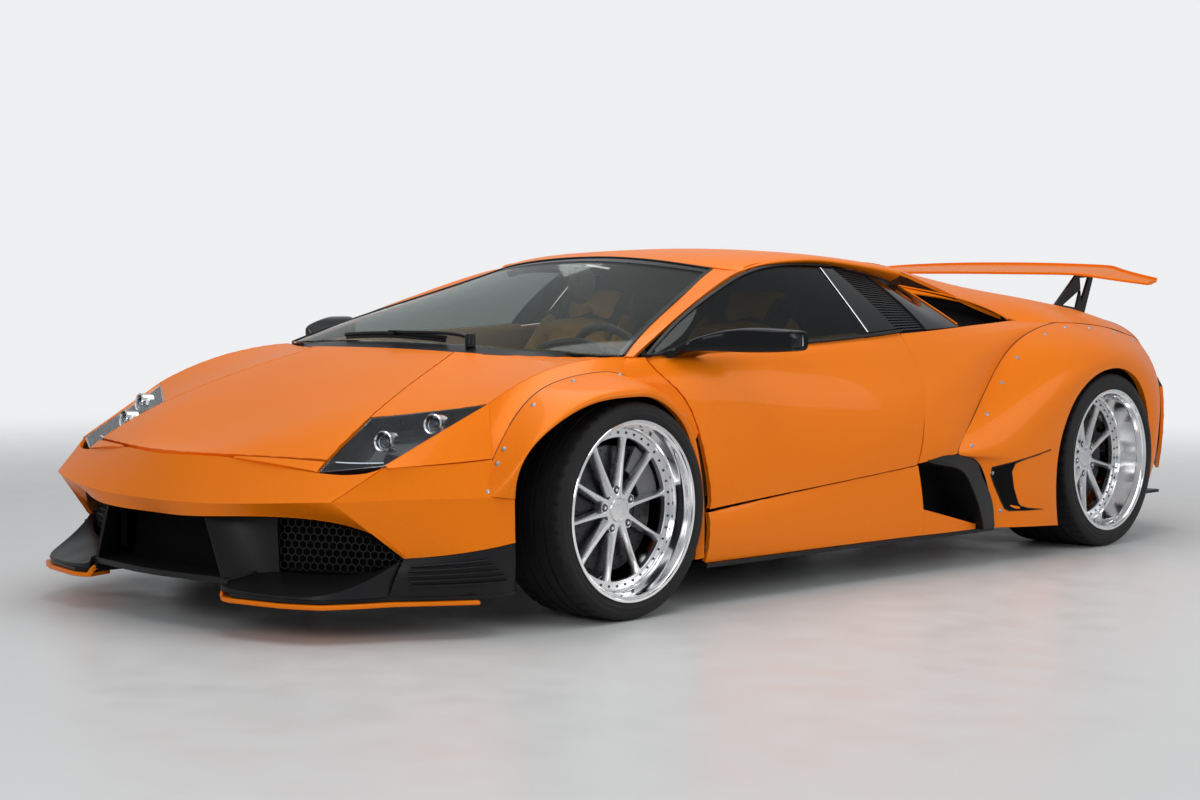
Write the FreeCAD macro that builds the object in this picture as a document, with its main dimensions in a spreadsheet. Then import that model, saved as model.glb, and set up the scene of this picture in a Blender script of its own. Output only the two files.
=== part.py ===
import FreeCAD, Part
import Sketcher
import math
import os

# A mid-engined two-seat supercar with a wide-body kit, in millimetres.
# +Z is up, the nose faces -Y and the car's left side is +X. The origin is on the ground,
# halfway along the body. Stations in the tables are measured rearwards from the front axle.

V = FreeCAD.Vector
doc = FreeCAD.newDocument("supercar")

# Driving dimensions: name, value, what it is

SIZES = [
    ("wheelbase", 2665, "front axle to rear axle"),
    ("front_axle_y", -1275, "front axle from the origin"),
    ("nose_overhang", 1060, "front axle to the tip of the splitter"),
    ("tail_overhang", 945, "rear axle to the rear of the bumper"),
    ("half_width", 1060, "centre plane to the widest part of the rear arch"),
    ("roof_height", 1125, "ground to the top of the roof"),
    ("ride_height", 120, "ground to the bottom of the side skirt"),
    ("front_tyre_radius", 326, "front tyre"),
    ("rear_tyre_radius", 333.5, "rear tyre"),
    ("front_tyre_width", 262, "front tyre"),
    ("rear_tyre_width", 350, "rear tyre"),
    ("front_face_inset", 85, "half width to the outer face of the front wheel"),
    ("rear_face_inset", 24, "half width to the outer face of the rear wheel"),
    ("flange_radius", 271.5, "outer radius of the rim's flange"),
    ("barrel_radius", 240, "inner radius of the rim's barrel"),
    ("front_dish", 74, "rim lip to the face of the front spokes"),
    ("rear_dish", 118, "rim lip to the face of the rear spokes"),
    ("spoke_count", 10, "spokes on a wheel"),
    ("hub_radius", 62, "centre of a wheel"),
    ("disc_radius", 190, "brake disc"),
    ("disc_thick", 26, "brake disc"),
    ("spoke_thick", 20, "wheel spokes along the axle"),
    ("brake_gap", 5, "caliper to disc and to spokes"),
    ("steer_inset", 165, "front wheel face to the steering axis"),
    ("running_gap", 6, "gap round a piece that moves"),
    ("seam", 0.3, "gap between fixed panels"),
    ("skin", 18, "body panel with its backing"),
    ("door_thick", 88, "door from skin to trim"),
    ("glass_thick", 6, "side glass and windscreen"),
    ("hinge_station", 120, "door hinge behind the front axle"),
    ("hinge_height", 750, "door hinge above the ground"),
    ("door_reach", 1362, "door hinge to the door's rear edge"),
]

sheet = doc.addObject("Spreadsheet::Sheet", "Sizes")
for row, (name, value, note) in enumerate(SIZES, 1):
    sheet.set("A%d" % row, name)
    sheet.set("B%d" % row, str(value))
    sheet.set("C%d" % row, note)
    sheet.setAlias("B%d" % row, name)
doc.recompute()


class Size:
    """A number together with the spreadsheet expression that it comes from."""

    def __init__(self, value, text):
        self.value = float(value)
        self.text = text

    def mixed(self, other, sign, value):
        text = other.text if isinstance(other, Size) else repr(other)
        return Size(value, "(%s %s %s)" % (self.text, sign, text))

    def __add__(self, other):
        return self.mixed(other, "+", self.value + float(other))

    def __sub__(self, other):
        return self.mixed(other, "-", self.value - float(other))

    def __mul__(self, other):
        return self.mixed(other, "*", self.value * float(other))

    def __truediv__(self, other):
        return self.mixed(other, "/", self.value / float(other))

    def __neg__(self):
        return Size(-self.value, "(0 - %s)" % self.text)

    def __float__(self):
        return self.value


size = {name: Size(sheet.get(name), "Sizes." + name) for name, value, note in SIZES}
num = {name: float(size[name]) for name in size}

# The car as drawn: the tables' stations, widths and heights belong to these sizes
DRAWN = {"wheelbase": 2665, "nose_overhang": 1060, "tail_overhang": 945, "half_width": 1060,
         "roof_height": 1125, "ride_height": 120}
FRONT_ZONE = 420
REAR_ZONE = 1900
TAIL_ZONE = 3115
SHOULDER_ZONE = (450, 800)
ROOF_ZONE = (830, 1040)
front_y = num["front_axle_y"]
rear_y = front_y + num["wheelbase"]


def ramp(value, low, high):
    """0 below low, 1 above high and straight between them."""
    return min(1.0, max(0.0, (value - low) / float(high - low)))


def grown(name):
    """How much a driving dimension differs from the car as drawn."""
    return num[name] - DRAWN[name]


def at(x, station, z):
    """A point of the tables, moved with the driving dimensions."""
    y = front_y + station + grown("wheelbase") * ramp(station, FRONT_ZONE, REAR_ZONE)
    y -= grown("nose_overhang") * ramp(-station, FRONT_ZONE, DRAWN["nose_overhang"])
    rear_end = DRAWN["wheelbase"] + DRAWN["tail_overhang"]
    y += grown("tail_overhang") * ramp(station, TAIL_ZONE, rear_end)
    side = math.copysign(1, x)
    x += side * grown("half_width") * ramp(abs(x), *SHOULDER_ZONE)
    z += grown("ride_height") + grown("roof_height") * ramp(z, *ROOF_ZONE)
    return V(x, y, z)


def points(rows):
    """Rows of a table as points of the car."""
    return [[at(*p) for p in row] for row in rows]


# Surfaces: a grid of points becomes one spline sheet, and a sheet gets a thickness

def spline(row):
    """The smooth curve through a row of points, evenly paced from one to the next."""
    curve = Part.BSplineCurve()
    last = len(row) - 1.0
    curve.interpolate(Points=row, Parameters=[i / last for i in range(len(row))])
    return curve


def surface(grid):
    """The spline sheet through a grid of points: curves along the rows, joined across them."""
    rows = [spline(row) for row in grid]
    across = [spline([row.getPole(k + 1) for row in rows]) for k in range(rows[0].NbPoles)]
    poles = [curve.getPoles() for curve in across]
    sheet_surface = Part.BSplineSurface()
    sheet_surface.buildFromPolesMultsKnots(
        poles, rows[0].getMultiplicities(), across[0].getMultiplicities(),
        rows[0].getKnots(), across[0].getKnots(), False, False,
        rows[0].Degree, across[0].Degree)
    return sheet_surface


# The line that panels get their thickness towards: half width, height and how far it reaches
# in front of the front axle and behind the rear one
CORE_HALF_WIDTH = 350
CORE_HEIGHT = 450
CORE_FRONT = 600
CORE_REAR = 380


def inward(point, thick):
    """The point on the inner side of a panel: towards a core that runs along the car."""
    core_x = math.copysign(min(abs(point.x), CORE_HALF_WIDTH), point.x)
    core_y = min(max(point.y, front_y - CORE_FRONT), rear_y + CORE_REAR)
    way = V(core_x, core_y, CORE_HEIGHT) - point
    way.normalize()
    return point + way * thick


def pulled(start, target, distance):
    """The start moved a distance towards the target."""
    way = target - start
    way.normalize()
    return start + way * distance


def inset(grid, first, last, start, end):
    """The grid with its edges pulled in: first and last row, and both ends of the rows."""
    grid = [list(row) for row in grid]
    if first:
        grid[0] = [pulled(p, q, first) for p, q in zip(grid[0], grid[1])]
    if last:
        grid[-1] = [pulled(p, q, last) for p, q in zip(grid[-1], grid[-2])]
    for row in grid:
        if start:
            row[0] = pulled(row[0], row[1], start)
        if end:
            row[-1] = pulled(row[-1], row[-2], end)
    return grid


def sewn(faces):
    """Faces that meet at their edges, sewn into one solid."""
    shell = Part.Shape(Part.makeCompound(faces))
    shell.sewShape(0.01)
    solid = Part.Solid(shell.Shells[0])
    if solid.Volume < 0:
        solid.reverse()
    return solid


def panel(grid, thick, creases=(), inner=None):
    """A closed panel: outer faces, inner faces at the thickness and the edges between."""
    cuts = [0] + list(creases) + [len(grid) - 1]
    faces = []
    for low, high in zip(cuts, cuts[1:]):
        part = grid[low:high + 1]
        back = inner[low:high + 1] if inner else [[inward(p, thick) for p in r] for r in part]
        outer_face = surface(part)
        inner_face = surface(back)
        faces += [outer_face.toShape(), inner_face.toShape()]
        edges = [(outer_face.uIso(0), inner_face.uIso(0)), (outer_face.uIso(1), inner_face.uIso(1))]
        if low == 0:
            edges.append((outer_face.vIso(0), inner_face.vIso(0)))
        if high == len(grid) - 1:
            edges.append((outer_face.vIso(1), inner_face.vIso(1)))
        faces += [Part.makeRuledSurface(a.toShape(), b.toShape()) for a, b in edges]
    return sewn(faces)


def skin(rows, creases=(), gaps=None, thick=None):
    """A body panel from a table of rows. gaps: first row, last row, start, end."""
    seam = num["seam"] / 2
    gaps = gaps or (seam, seam, seam, seam)
    return panel(inset(points(rows), *gaps), thick or num["skin"], creases)


def mirrored(shape):
    """The shape on the car's other side."""
    return shape.mirror(V(0, 0, 0), V(1, 0, 0))


def both(shape):
    """The shape and its mirror image, as one compound."""
    return Part.makeCompound([shape, mirrored(shape)])


# Share of the largest piece below which a piece that a cut leaves is a splinter
SPLINTER = 0.02


def trimmed(shape, *neighbours):
    """The shape without what its neighbours already fill; splinters of the cut are dropped."""
    for neighbour in neighbours:
        shape = shape.cut(neighbour)
    largest = max(solid.Volume for solid in shape.Solids)
    return Part.makeCompound([solid for solid in shape.Solids if solid.Volume > SPLINTER * largest])


def block(x, station, z):
    """A box from two opposite corners, given as ranges (low, high)."""
    low = at(x[0], station[0], z[0])
    high = at(x[1], station[1], z[1])
    corner = V(min(low.x, high.x), min(low.y, high.y), min(low.z, high.z))
    return Part.makeBox(abs(high.x - low.x), abs(high.y - low.y), abs(high.z - low.z), corner)


def plate(outline, way):
    """A flat outline of points, carried along a vector."""
    wire = Part.makePolygon(outline + [outline[0]])
    return Part.Face(wire).extrude(way)


def bar(start, end, radius):
    """A round bar between two points."""
    way = end - start
    return Part.makeCylinder(radius, way.Length, start, way)


subparts = []


def keep(label, shape):
    """Puts a finished shape into the document as one sub-part."""
    feature = doc.addObject("Part::Feature", label)
    feature.Shape = shape
    feature.Label = label
    subparts.append(feature)
    return feature


def keep_pair(label, shape):
    """A sub-part on the left and its mirror image on the right."""
    keep(label + "_left", shape)
    keep(label + "_right", mirrored(shape))


# Lines that neighbouring panels share. Columns: x, station, z

BONNET_SIDE = [(548, -822, 497), (498, -618, 607), (442, -440, 679), (385, -275, 735), (328, -128, 781)]
BONNET_MIDDLE = [(270, -925, 500), (258, -728, 582), (235, -510, 662), (205, -310, 732), (165, -128, 784)]
BONNET_CENTRE = [(0, -975, 500), (0, -800, 549), (0, -560, 646), (0, -330, 727), (0, -126, 785)]
LAMP_INNER = [(557, -863, 468), (498, -618, 607)]
LAMP_OUTER = [(726, -767, 489), (787, -427, 651)]
LAMP_EDGE = [(728, -765, 491), (757, -597, 572), (789, -426, 653)]
FENDER_SEAM = [(740, -763, 484), (800, -621, 491), (860, -478, 502)]
CREST = [(787, -427, 651), (776, -235, 724), (772, -45, 762), (803, 136, 773)]
FENDER_ROOT = [(860, -478, 502), (846, -372, 620), (832, -221, 702), (822, -20, 731), (838, 120, 713)]
FENDER_CORNER = [(805, 140, 770), (838, 120, 713), (868, 195, 675), (895, 262, 622), (916, 338, 515)]
DOOR_FRONT = [(835, 196, 772), (884, 246, 700), (912, 322, 610), (935, 374, 430), (941, 380, 300)]
BELT = [(835, 196, 772), (852, 500, 784), (862, 860, 796), (870, 1180, 810), (873, 1478, 830)]
WINDOW_TOP = [(838, 196, 774), (730, 483, 888), (680, 664, 951), (630, 852, 1011), (602, 1010, 1047),
              (598, 1183, 1065), (596, 1371, 1065)]
WINDSCREEN_SIDE = [(796, 140, 776), (708, 345, 858), (615, 590, 940), (553, 760, 1000), (498, 908, 1048)]
REAR_ROOT = [(1003, 1655, 408), (985, 1760, 512), (955, 1895, 617), (915, 2080, 740), (885, 2290, 820),
             (862, 2520, 857), (856, 2720, 852), (850, 2930, 835), (838, 3110, 806), (820, 3260, 765)]

# Bonnet

bonnet_rows = []
for index in range(len(BONNET_CENTRE)):
    side = BONNET_SIDE[index]
    middle = BONNET_MIDDLE[index]
    right = [(-side[0], side[1], side[2]), (-middle[0], middle[1], middle[2])]
    bonnet_rows.append(right + [BONNET_CENTRE[index], middle, side])
half_gap = num["running_gap"] / 2
bonnet = skin(bonnet_rows, gaps=(half_gap, half_gap, half_gap, half_gap))
PIN_HALF = 60
BONNET_HINGE = (-127, 780)
bonnet_pin = bar(at(-PIN_HALF, *BONNET_HINGE), at(PIN_HALF, *BONNET_HINGE), half_gap - 0.3)
keep("bonnet", Part.makeCompound([bonnet, bonnet_pin]))

# Doors: the skin's outline from the belt to the lower crease, with an inner face a door's
# thickness inside it. The rear edge is an arc about the hinge, so that the gap stays even.

def door_rear(z, x):
    """The door's rear edge at a height: on the circle about the hinge."""
    up = z - num["hinge_height"]
    return (x, num["hinge_station"] + math.sqrt(num["door_reach"] ** 2 - up ** 2), z)


DOOR_LEVELS = [
    # front point of the row, then x and z of three points, then x and z at the rear edge
    (DOOR_FRONT[1], (905, 500, 732), (915, 860, 740), (925, 1180, 748), (928, 752)),
    (DOOR_FRONT[2], (932, 560, 612), (950, 900, 618), (968, 1200, 624), (978, 630)),
    (DOOR_FRONT[3], (948, 600, 440), (966, 920, 455), (984, 1200, 470), (994, 485)),
    (DOOR_FRONT[4], (950, 640, 320), (966, 940, 342), (980, 1200, 362), (988, 380)),
]
BELT_REAR = door_rear(830, 873)
door_rows = [BELT[:4] + [BELT_REAR]]
for front, first, second, third, rear in DOOR_LEVELS:
    door_rows.append([front, first, second, third, door_rear(rear[1], rear[0])])


# Door thickness at the front edge of the upper rows, where the raised door passes the pillar
DOOR_FRONT_THICK = (14, 45, 80)


def door_depth(row, column):
    if column == 0 and row < len(DOOR_FRONT_THICK):
        return DOOR_FRONT_THICK[row]
    return num["door_thick"]


door_outer = inset(points(door_rows), num["seam"] / 2, half_gap, half_gap, half_gap)
door_inside = [[p - V(door_depth(i, j), 0, 0) for j, p in enumerate(row)]
               for i, row in enumerate(door_outer)]
door = panel(door_outer, 0, inner=door_inside)
keep_pair("door", door)

# Front fenders: valley beside the bonnet, crest, the slope down to the flare, the corner
# beside the lamp and the corner in front of the door


def resampled(row, count):
    """Points spaced evenly along the curve through a row."""
    curve = spline([V(*point) for point in row])
    return [tuple(curve.value(index / (count - 1.0))) for index in range(count)]


valley = [((a[0] + b[0]) / 2, (a[1] + b[1]) / 2, (a[2] + b[2]) / 2 - 6)
          for a, b in zip([BONNET_SIDE[1]] + BONNET_SIDE[2:], CREST)]
fender_top = skin([BONNET_SIDE[1:], valley, CREST], gaps=(half_gap, 0.15, 0.15, 0.15))
fender_side = trimmed(skin([resampled(CREST, len(FENDER_ROOT)), FENDER_ROOT]), fender_top)
lamp_side = trimmed(skin([LAMP_EDGE, FENDER_SEAM]), fender_top, fender_side)

# Shares of the door's front edge, from its top, that the corner's points face
FACED = (0, 0.15, 0.3, 0.45, 0.6)
door_edge = spline([V(*row[0]) for row in door_rows])
corner_rows = [FENDER_CORNER, [tuple(door_edge.value(share)) for share in FACED]]
door_side = skin(corner_rows, gaps=(0.15, half_gap, 0.15, 0.15), thick=10)
door_side = trimmed(door_side, fender_top, fender_side)
fender = Part.makeCompound([fender_top, fender_side, lamp_side, door_side])
keep_pair("front_fender", fender)

# Side window: it stands in the door's top edge, leans in to the roof and ends at the arc

GLASS_SEAT = 4
window_low = [(x, station, z + GLASS_SEAT) for x, station, z in BELT[:4] + [BELT_REAR]]
window_high = WINDOW_TOP[:1] + [(730, 483, 888), (655, 760, 981), (602, 1040, 1050), door_rear(1062, 594)]
window_mid = [((a[0] + b[0]) / 2 + 12, (a[1] + b[1]) / 2, (a[2] + b[2]) / 2)
              for a, b in zip(window_low, window_high)]
side_window = skin([window_high, window_mid, window_low], gaps=(2.5, 0.2, 2.5, 2.5),
                   thick=num["glass_thick"])
keep_pair("door_window", side_window)


def across(rows):
    """Rows given from the left side to the centre plane, completed to the right side."""
    return [row + [(-x, station, z) for x, station, z in reversed(row[:-1])] for row in rows]


# Windscreen, pillars and roof

cowl = skin(across([
    [(790, 134, 768), (565, 9, 768), (326, -122, 776), (0, -120, 781)],
    [(791, 139, 775), (551, 36, 787), (303, -40, 796), (0, -65, 802)],
]), thick=8)
cowl = trimmed(cowl, fender, mirrored(fender))
windscreen = trimmed(skin(across([
    [(794, 142, 778), (450, -2, 794), (0, -62, 804)],
    [(706, 347, 859), (400, 255, 886), (0, 212, 894)],
    [(613, 592, 941), (340, 512, 964), (0, 474, 974)],
    [(500, 904, 1046), (258, 874, 1075), (0, 884, 1086)],
]), thick=num["glass_thick"]), cowl)
keep("windscreen", windscreen)

PILLAR_OUT = [(818, 158, 776), (716, 478, 893), (666, 658, 957), (616, 846, 1017), (588, 985, 1046)]
pillar = skin([WINDSCREEN_SIDE, PILLAR_OUT])
roof_skin = skin(across([
    [(588, 987, 1047), (500, 914, 1052), (262, 883, 1079), (0, 893, 1089)],
    [(586, 1090, 1060), (520, 1080, 1086), (270, 1060, 1104), (0, 1060, 1109)],
    [(584, 1250, 1069), (528, 1250, 1099), (275, 1250, 1116), (0, 1250, 1122)],
    [(582, 1420, 1068), (530, 1420, 1100), (275, 1420, 1118), (0, 1420, 1125)],
    [(578, 1650, 1044), (540, 1650, 1085), (280, 1650, 1106), (0, 1650, 1114)],
    [(570, 1850, 1008), (552, 1866, 1063), (285, 1866, 1084), (0, 1866, 1092)],
]))
pillar = trimmed(pillar, windscreen, roof_skin)
roof_skin = trimmed(roof_skin, windscreen)
keep("roof", Part.makeCompound([roof_skin, pillar, mirrored(pillar)]))

# Black vent panels behind the doors, up to the tip of the buttress

vent_panel = skin([
    [door_rear(1062, 588), (582, 1600, 1046), (574, 1740, 1024), (566, 1850, 1000), (650, 2112, 956),
     (756, 2362, 866)],
    [door_rear(950, 728), (730, 1600, 945), (728, 1740, 935), (715, 1860, 922), (722, 2110, 905),
     (762, 2374, 865)],
    [door_rear(834, 868), (862, 1600, 839), (857, 1720, 843), (850, 1850, 848), (815, 2110, 857),
     (768, 2384, 866)],
], gaps=(0.15, 0.15, half_gap, 0.15))

# Rear quarters between the door, the glass and the rear flare

quarter = skin([
    [door_rear(830, 874), (862, 1760, 842), (824, 2040, 854), (768, 2380, 866)],
    [door_rear(785, 905), (898, 1790, 802), (876, 2120, 828), REAR_ROOT[5]],
    [door_rear(725, 938), (928, 1750, 757), (912, 2000, 785), REAR_ROOT[4]],
    [door_rear(648, 966), (965, 1690, 680), (948, 1880, 712), REAR_ROOT[3]],
    [door_rear(560, 986), (987, 1640, 578), (978, 1780, 598), REAR_ROOT[2]],
    [door_rear(465, 996), (1000, 1570, 482), (998, 1670, 498), REAR_ROOT[1]],
    [door_rear(385, 989), (1000, 1520, 395), (1002, 1590, 402), REAR_ROOT[0]],
], creases=(1,), gaps=(0.3, 0.3, half_gap, 0.6))
keep("rear_quarters", both(quarter))
vent_panel = trimmed(vent_panel, quarter)
keep("side_vents", both(vent_panel))

# Wheel arches. Columns: angle from the rear in degrees, gap beyond the tyre, x of the edge,
# then x, station and z of the flare's root on the body

FRONT_ARCH = [
    (172, 136, 930, 866, -535, 400), (160, 153, 950, 860, -478, 500), (147, 126, 970, 846, -372, 620),
    (124, 62, 985, 832, -221, 702), (97, 16, 985, 822, -20, 731), (75, 14, 976, 838, 120, 713),
    (50, 17, 955, 895, 262, 622), (28, 20, 932, 916, 338, 515), (2, 22, 920, 930, 366, 345),
    (-28, 60, 918, 934, 366, 150)]
REAR_ARCH = [
    (-149, 101, 1030, 1000, 1905, 128), (-164, 88, 1040, 1002, 1866, 250),
    (-178, 85, 1048, 1003, 1775, 378), (172, 82, 1052, 1003, 1660, 410),
    (163, 78, 1055, 985, 1760, 512), (150, 69, 1058, 955, 1895, 617), (136, 57, 1060, 915, 2080, 740),
    (118, 38, 1060, 885, 2290, 820), (98, 22, 1056, 862, 2520, 857), (78, 19, 1048, 856, 2720, 852),
    (58, 24, 1036, 850, 2930, 835), (38, 25, 1022, 838, 3110, 806), (15, 25, 1005, 822, 3260, 762),
    (-8, 25, 992, 885, 3262, 600), (-32, 40, 978, 915, 3240, 420)]


def flare(table, axle_station, radius):
    """An overfender: root on the body, a rounded shoulder and the arch edge round the tyre."""
    root, shoulder, edge = [], [], []
    for angle, gap, edge_x, root_x, station, z in table:
        turn = math.radians(angle)
        reach = radius + gap
        lip = (edge_x, axle_station + reach * math.cos(turn), radius + reach * math.sin(turn))
        root.append((root_x, station, z))
        shoulder.append((root_x + 0.82 * (edge_x - root_x) + 6, station + 0.5 * (lip[1] - station),
                         z + 0.5 * (lip[2] - z)))
        edge.append(lip)
    return skin([root, shoulder, edge])


front_flare = trimmed(flare(FRONT_ARCH, 0, num["front_tyre_radius"]), fender)
keep("front_flares", both(front_flare))
rear_flare = trimmed(flare(REAR_ARCH, DRAWN["wheelbase"], num["rear_tyre_radius"]), quarter)
keep("rear_flares", both(rear_flare))

# Rear deck: both shoulders and the strip behind the engine lid

shoulder_deck = skin([
    [(424, 1872, 1082), (490, 1870, 1075), (552, 1869, 1062)],
    [(420, 2120, 1050), (545, 2118, 1018), (655, 2114, 966)],
    [(416, 2400, 1010), (610, 2385, 960), (762, 2372, 870)],
    [(412, 2560, 990), (640, 2540, 945), (861, 2520, 859)],
    [(410, 2740, 962), (645, 2730, 935), (855, 2720, 854)],
    [(406, 2950, 928), (640, 2940, 915), (849, 2930, 837)],
    [(402, 3120, 905), (630, 3115, 893), (837, 3110, 808)],
    [(400, 3445, 872), (640, 3375, 842), (820, 3262, 767)],
], gaps=(0.15, 0.15, half_gap, 0.15))
shoulder_deck = trimmed(shoulder_deck, vent_panel, quarter, rear_flare)
LID_REAR = 3060
deck_centre = skin(across([
    [(405.6, LID_REAR + 3, 910), (200, LID_REAR + 3, 921), (0, LID_REAR + 3, 925)],
    [(402.6, 3445, 872), (200, 3470, 880), (0, 3480, 883)],
]))
keep("rear_deck", Part.makeCompound([shoulder_deck, mirrored(shoulder_deck), deck_centre]))

LID_FRONT = 1869
LID_HINGE = (LID_FRONT, 1088)
lid_pin = bar(at(-PIN_HALF, *LID_HINGE), at(PIN_HALF, *LID_HINGE), half_gap - 0.3)
lid = skin(across([
    [(423, LID_FRONT, 1082), (220, LID_FRONT, 1089), (0, LID_FRONT, 1092)],
    [(419, 2120, 1050), (215, 2120, 1060), (0, 2120, 1064)],
    [(415, 2400, 1010), (210, 2400, 1022), (0, 2400, 1026)],
    [(409, 2740, 962), (205, 2740, 974), (0, 2740, 978)],
    [(402, LID_REAR, 911), (200, LID_REAR, 921), (0, LID_REAR, 925)],
]), gaps=(half_gap, half_gap, half_gap, half_gap))
keep("engine_lid", Part.makeCompound([lid, lid_pin]))

# Tail: lamps and grille between the deck and the bumper

TAIL_TOP = [(818, 3267, 752), (640, 3385, 828), (400, 3455, 856), (0, 3490, 866)]
TAIL_LOW = [(925, 3262, 595), (700, 3500, 612), (440, 3560, 618), (0, 3580, 622)]


def between(a, b, share):
    return tuple(p + share * (q - p) for p, q in zip(a, b))


keep("tail_grille", skin(across([
    [between(TAIL_TOP[1], TAIL_TOP[2], 0.6), TAIL_TOP[2], TAIL_TOP[3]],
    [between(TAIL_LOW[1], TAIL_LOW[2], 0.6), TAIL_LOW[2], TAIL_LOW[3]],
]), thick=30))
tail_lamp = skin([
    [TAIL_TOP[0], TAIL_TOP[1], between(TAIL_TOP[1], TAIL_TOP[2], 0.58)],
    [TAIL_LOW[0], TAIL_LOW[1], between(TAIL_LOW[1], TAIL_LOW[2], 0.58)],
], thick=30)
tail_lamp = trimmed(tail_lamp, rear_flare, shoulder_deck)
keep("tail_lamps", both(tail_lamp))

# Rear bumper round the exhaust

EXHAUST_Z = 400
PIPE_RADIUS = 68
bumper_skin = skin(across([
    [(926, 3262, 594), (701, 3501, 611), (440, 3561, 617), (0, 3581, 621)],
    [(940, 3250, 440), (720, 3530, 460), (450, 3590, 465), (0, 3604, 468)],
    [(930, 3235, 260), (700, 3490, 330), (440, 3560, 345), (0, 3572, 350)],
]))
pipe_hole = bar(at(0, 3400, EXHAUST_Z), at(0, 3640, EXHAUST_Z), PIPE_RADIUS + 0.4)
keep("rear_bumper", trimmed(bumper_skin, pipe_hole, tail_lamp, mirrored(tail_lamp)))

# Front bumper: upper face, lower face and the side behind the crease

NOSE_TOP = [(728, -768, 485), (557, -866, 465), (270, -934, 493), (0, -983, 493)]
NOSE_CREASE = [(664, -905, 392), (520, -972, 384), (268, -1034, 370), (0, -1050, 366)]
NOSE_LOW = [(762, -725, 232), (560, -872, 334), (250, -1022, 330), (0, -1014, 322)]
nose = skin(across([NOSE_TOP, NOSE_CREASE, NOSE_LOW]), creases=(1,))
nose_corner = trimmed(skin([
    [(549, -827, 494), (410, -885, 499), (275, -928, 499)],
    [(556, -863, 467), (412, -908, 484), (273, -935, 493)],
]), nose)
nose_side = skin([
    [(731, -765, 484), (800, -622, 489), (860, -480, 500)],
    [(666, -903, 391), (800, -690, 396), (930, -458, 394)],
    [(764, -723, 231), (865, -590, 245), (930, -455, 268)],
], creases=(1,))
nose_side = trimmed(nose_side, front_flare, fender)
nose = trimmed(nose, fender, mirrored(fender), nose_side, mirrored(nose_side))
nose_corners = [nose_corner, mirrored(nose_corner)]
keep("front_bumper", Part.makeCompound([nose, nose_side, mirrored(nose_side)] + nose_corners))

# Headlamps: a clear lens over a tray with two projectors. Columns: x, station, z, radius

LENS = 5
LAMP_DEPTH = 64
LAMP_WALL = 10
PROJECTORS = [(631, -664, 545, 25), (710, -549, 592, 25)]
lamp_grid = inset(points([LAMP_INNER, LAMP_OUTER]), half_gap, 0.15, 0.15, 0.15)
under_lens = [[inward(p, LENS + 0.2) for p in row] for row in lamp_grid]
pocket_grid = [[inward(p, LENS - 1) for p in row] for row in inset(lamp_grid, *[LAMP_WALL] * 4)]
tray = panel(under_lens, LAMP_DEPTH).cut(panel(pocket_grid, LAMP_DEPTH - LAMP_WALL))
for x, station, z, radius in PROJECTORS:
    tray = tray.fuse(bar(at(x, station, z), at(x - 8, station + 62, z - 8), radius))
lens = trimmed(panel(lamp_grid, LENS), fender, nose, nose_side, nose_corner)
keep("headlamps", both(Part.makeCompound([lens, trimmed(tray, fender, nose, nose_side, nose_corner)])))

# Splitter with its vanes and cheeks, and the coloured lip under it

def slab(outline, z, thick):
    """A level plate from a plan outline of (x, station), its underside at z."""
    ring = [at(x, station, z) for x, station in outline]
    return plate(ring, V(0, 0, thick))


def upright(x, outline, thick):
    """An upright plate from a side outline of (station, z), centred on x."""
    ring = [at(x, station, z) - V(thick / 2, 0, 0) for station, z in outline]
    return plate(ring, V(thick, 0, 0))


def doubled(outline):
    """A half plan outline completed across the centre plane."""
    return outline + [(-x, station) for x, station in reversed(outline)]


CENTRE_FLOOR = 142
SIDE_FLOOR = 112
FLOOR_THICK = 14
WALL_FOOT = 330
centre_floor = slab(doubled([(60, -1036), (318, -1004), (318, -700)]), CENTRE_FLOOR, 18)
side_floor = slab([(WALL_FOOT, -1004), (385, -1030), (560, -993), (664, -935), (745, -764),
                   (880, -570), (905, -425), (520, -425), (WALL_FOOT, -760)], SIDE_FLOOR, FLOOR_THICK)

# The wall that leans out from under the nose, the pan that rises to the grille, the fascia
# under the pan's edge and the cheek in front of the wheel
intake_wall = skin([
    [(243, -1012, 326), (300, -930, 326), (385, -868, 326)],
    [(324, -1003, 127), (352, -930, 127), (400, -868, 127)],
], thick=9)
PAN_EDGE = [(334, -1003, 152), (385, -1024, 136), (560, -988, 132), (660, -932, 138), (712, -845, 165),
            (757, -734, 224)]
PAN_BACK = [(356, -905, 172), (400, -872, 172), (500, -835, 172), (600, -795, 176), (680, -762, 190),
            (745, -722, 224)]
PAN_FOOT = [(334, -1003, 126.3), (385, -1026, 126.3), (560, -991, 126.3), (662, -934, 126.3),
            (722, -840, 126.3), (742, -764, 126.3)]
pan = trimmed(skin([PAN_BACK, PAN_EDGE, PAN_FOOT], creases=(1,), thick=7), intake_wall)
cheek = trimmed(skin([
    [(764, -723, 231), (865, -590, 245), (930, -455, 268)],
    [(760, -752, 180), (868, -600, 185), (918, -440, 190)],
    [(744, -762, 126.3), (868, -580, 126.3), (902, -430, 126.3)],
]), pan)
centre_back = slab(doubled([(290, -880), (290, -862)]), CENTRE_FLOOR + 18.3, 164)
intake_wall = trimmed(intake_wall, side_floor)
splitter = [side_floor, intake_wall, pan, cheek]
keep("front_splitter", Part.makeCompound(
    [centre_floor, centre_back] + splitter + [mirrored(piece) for piece in splitter]))
LIP_THICK = 12.7
keep("front_lip", both(slab([(319, -1016), (385, -1040), (566, -1004), (678, -943), (765, -760),
                             (900, -560), (880, -560), (640, -790), (345, -930)],
                            SIDE_FLOOR - 13, LIP_THICK)))

# Honeycomb grilles in the side intakes: hexagonal holes through a plate, row by row

GRILLE_START = (404, -868)
GRILLE_END = (742, -716)
GRILLE_LOW = 178
GRILLE_HIGH = 318
CELL = 27
CELL_WALL = 5
GRILLE_THICK = 9


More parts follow.
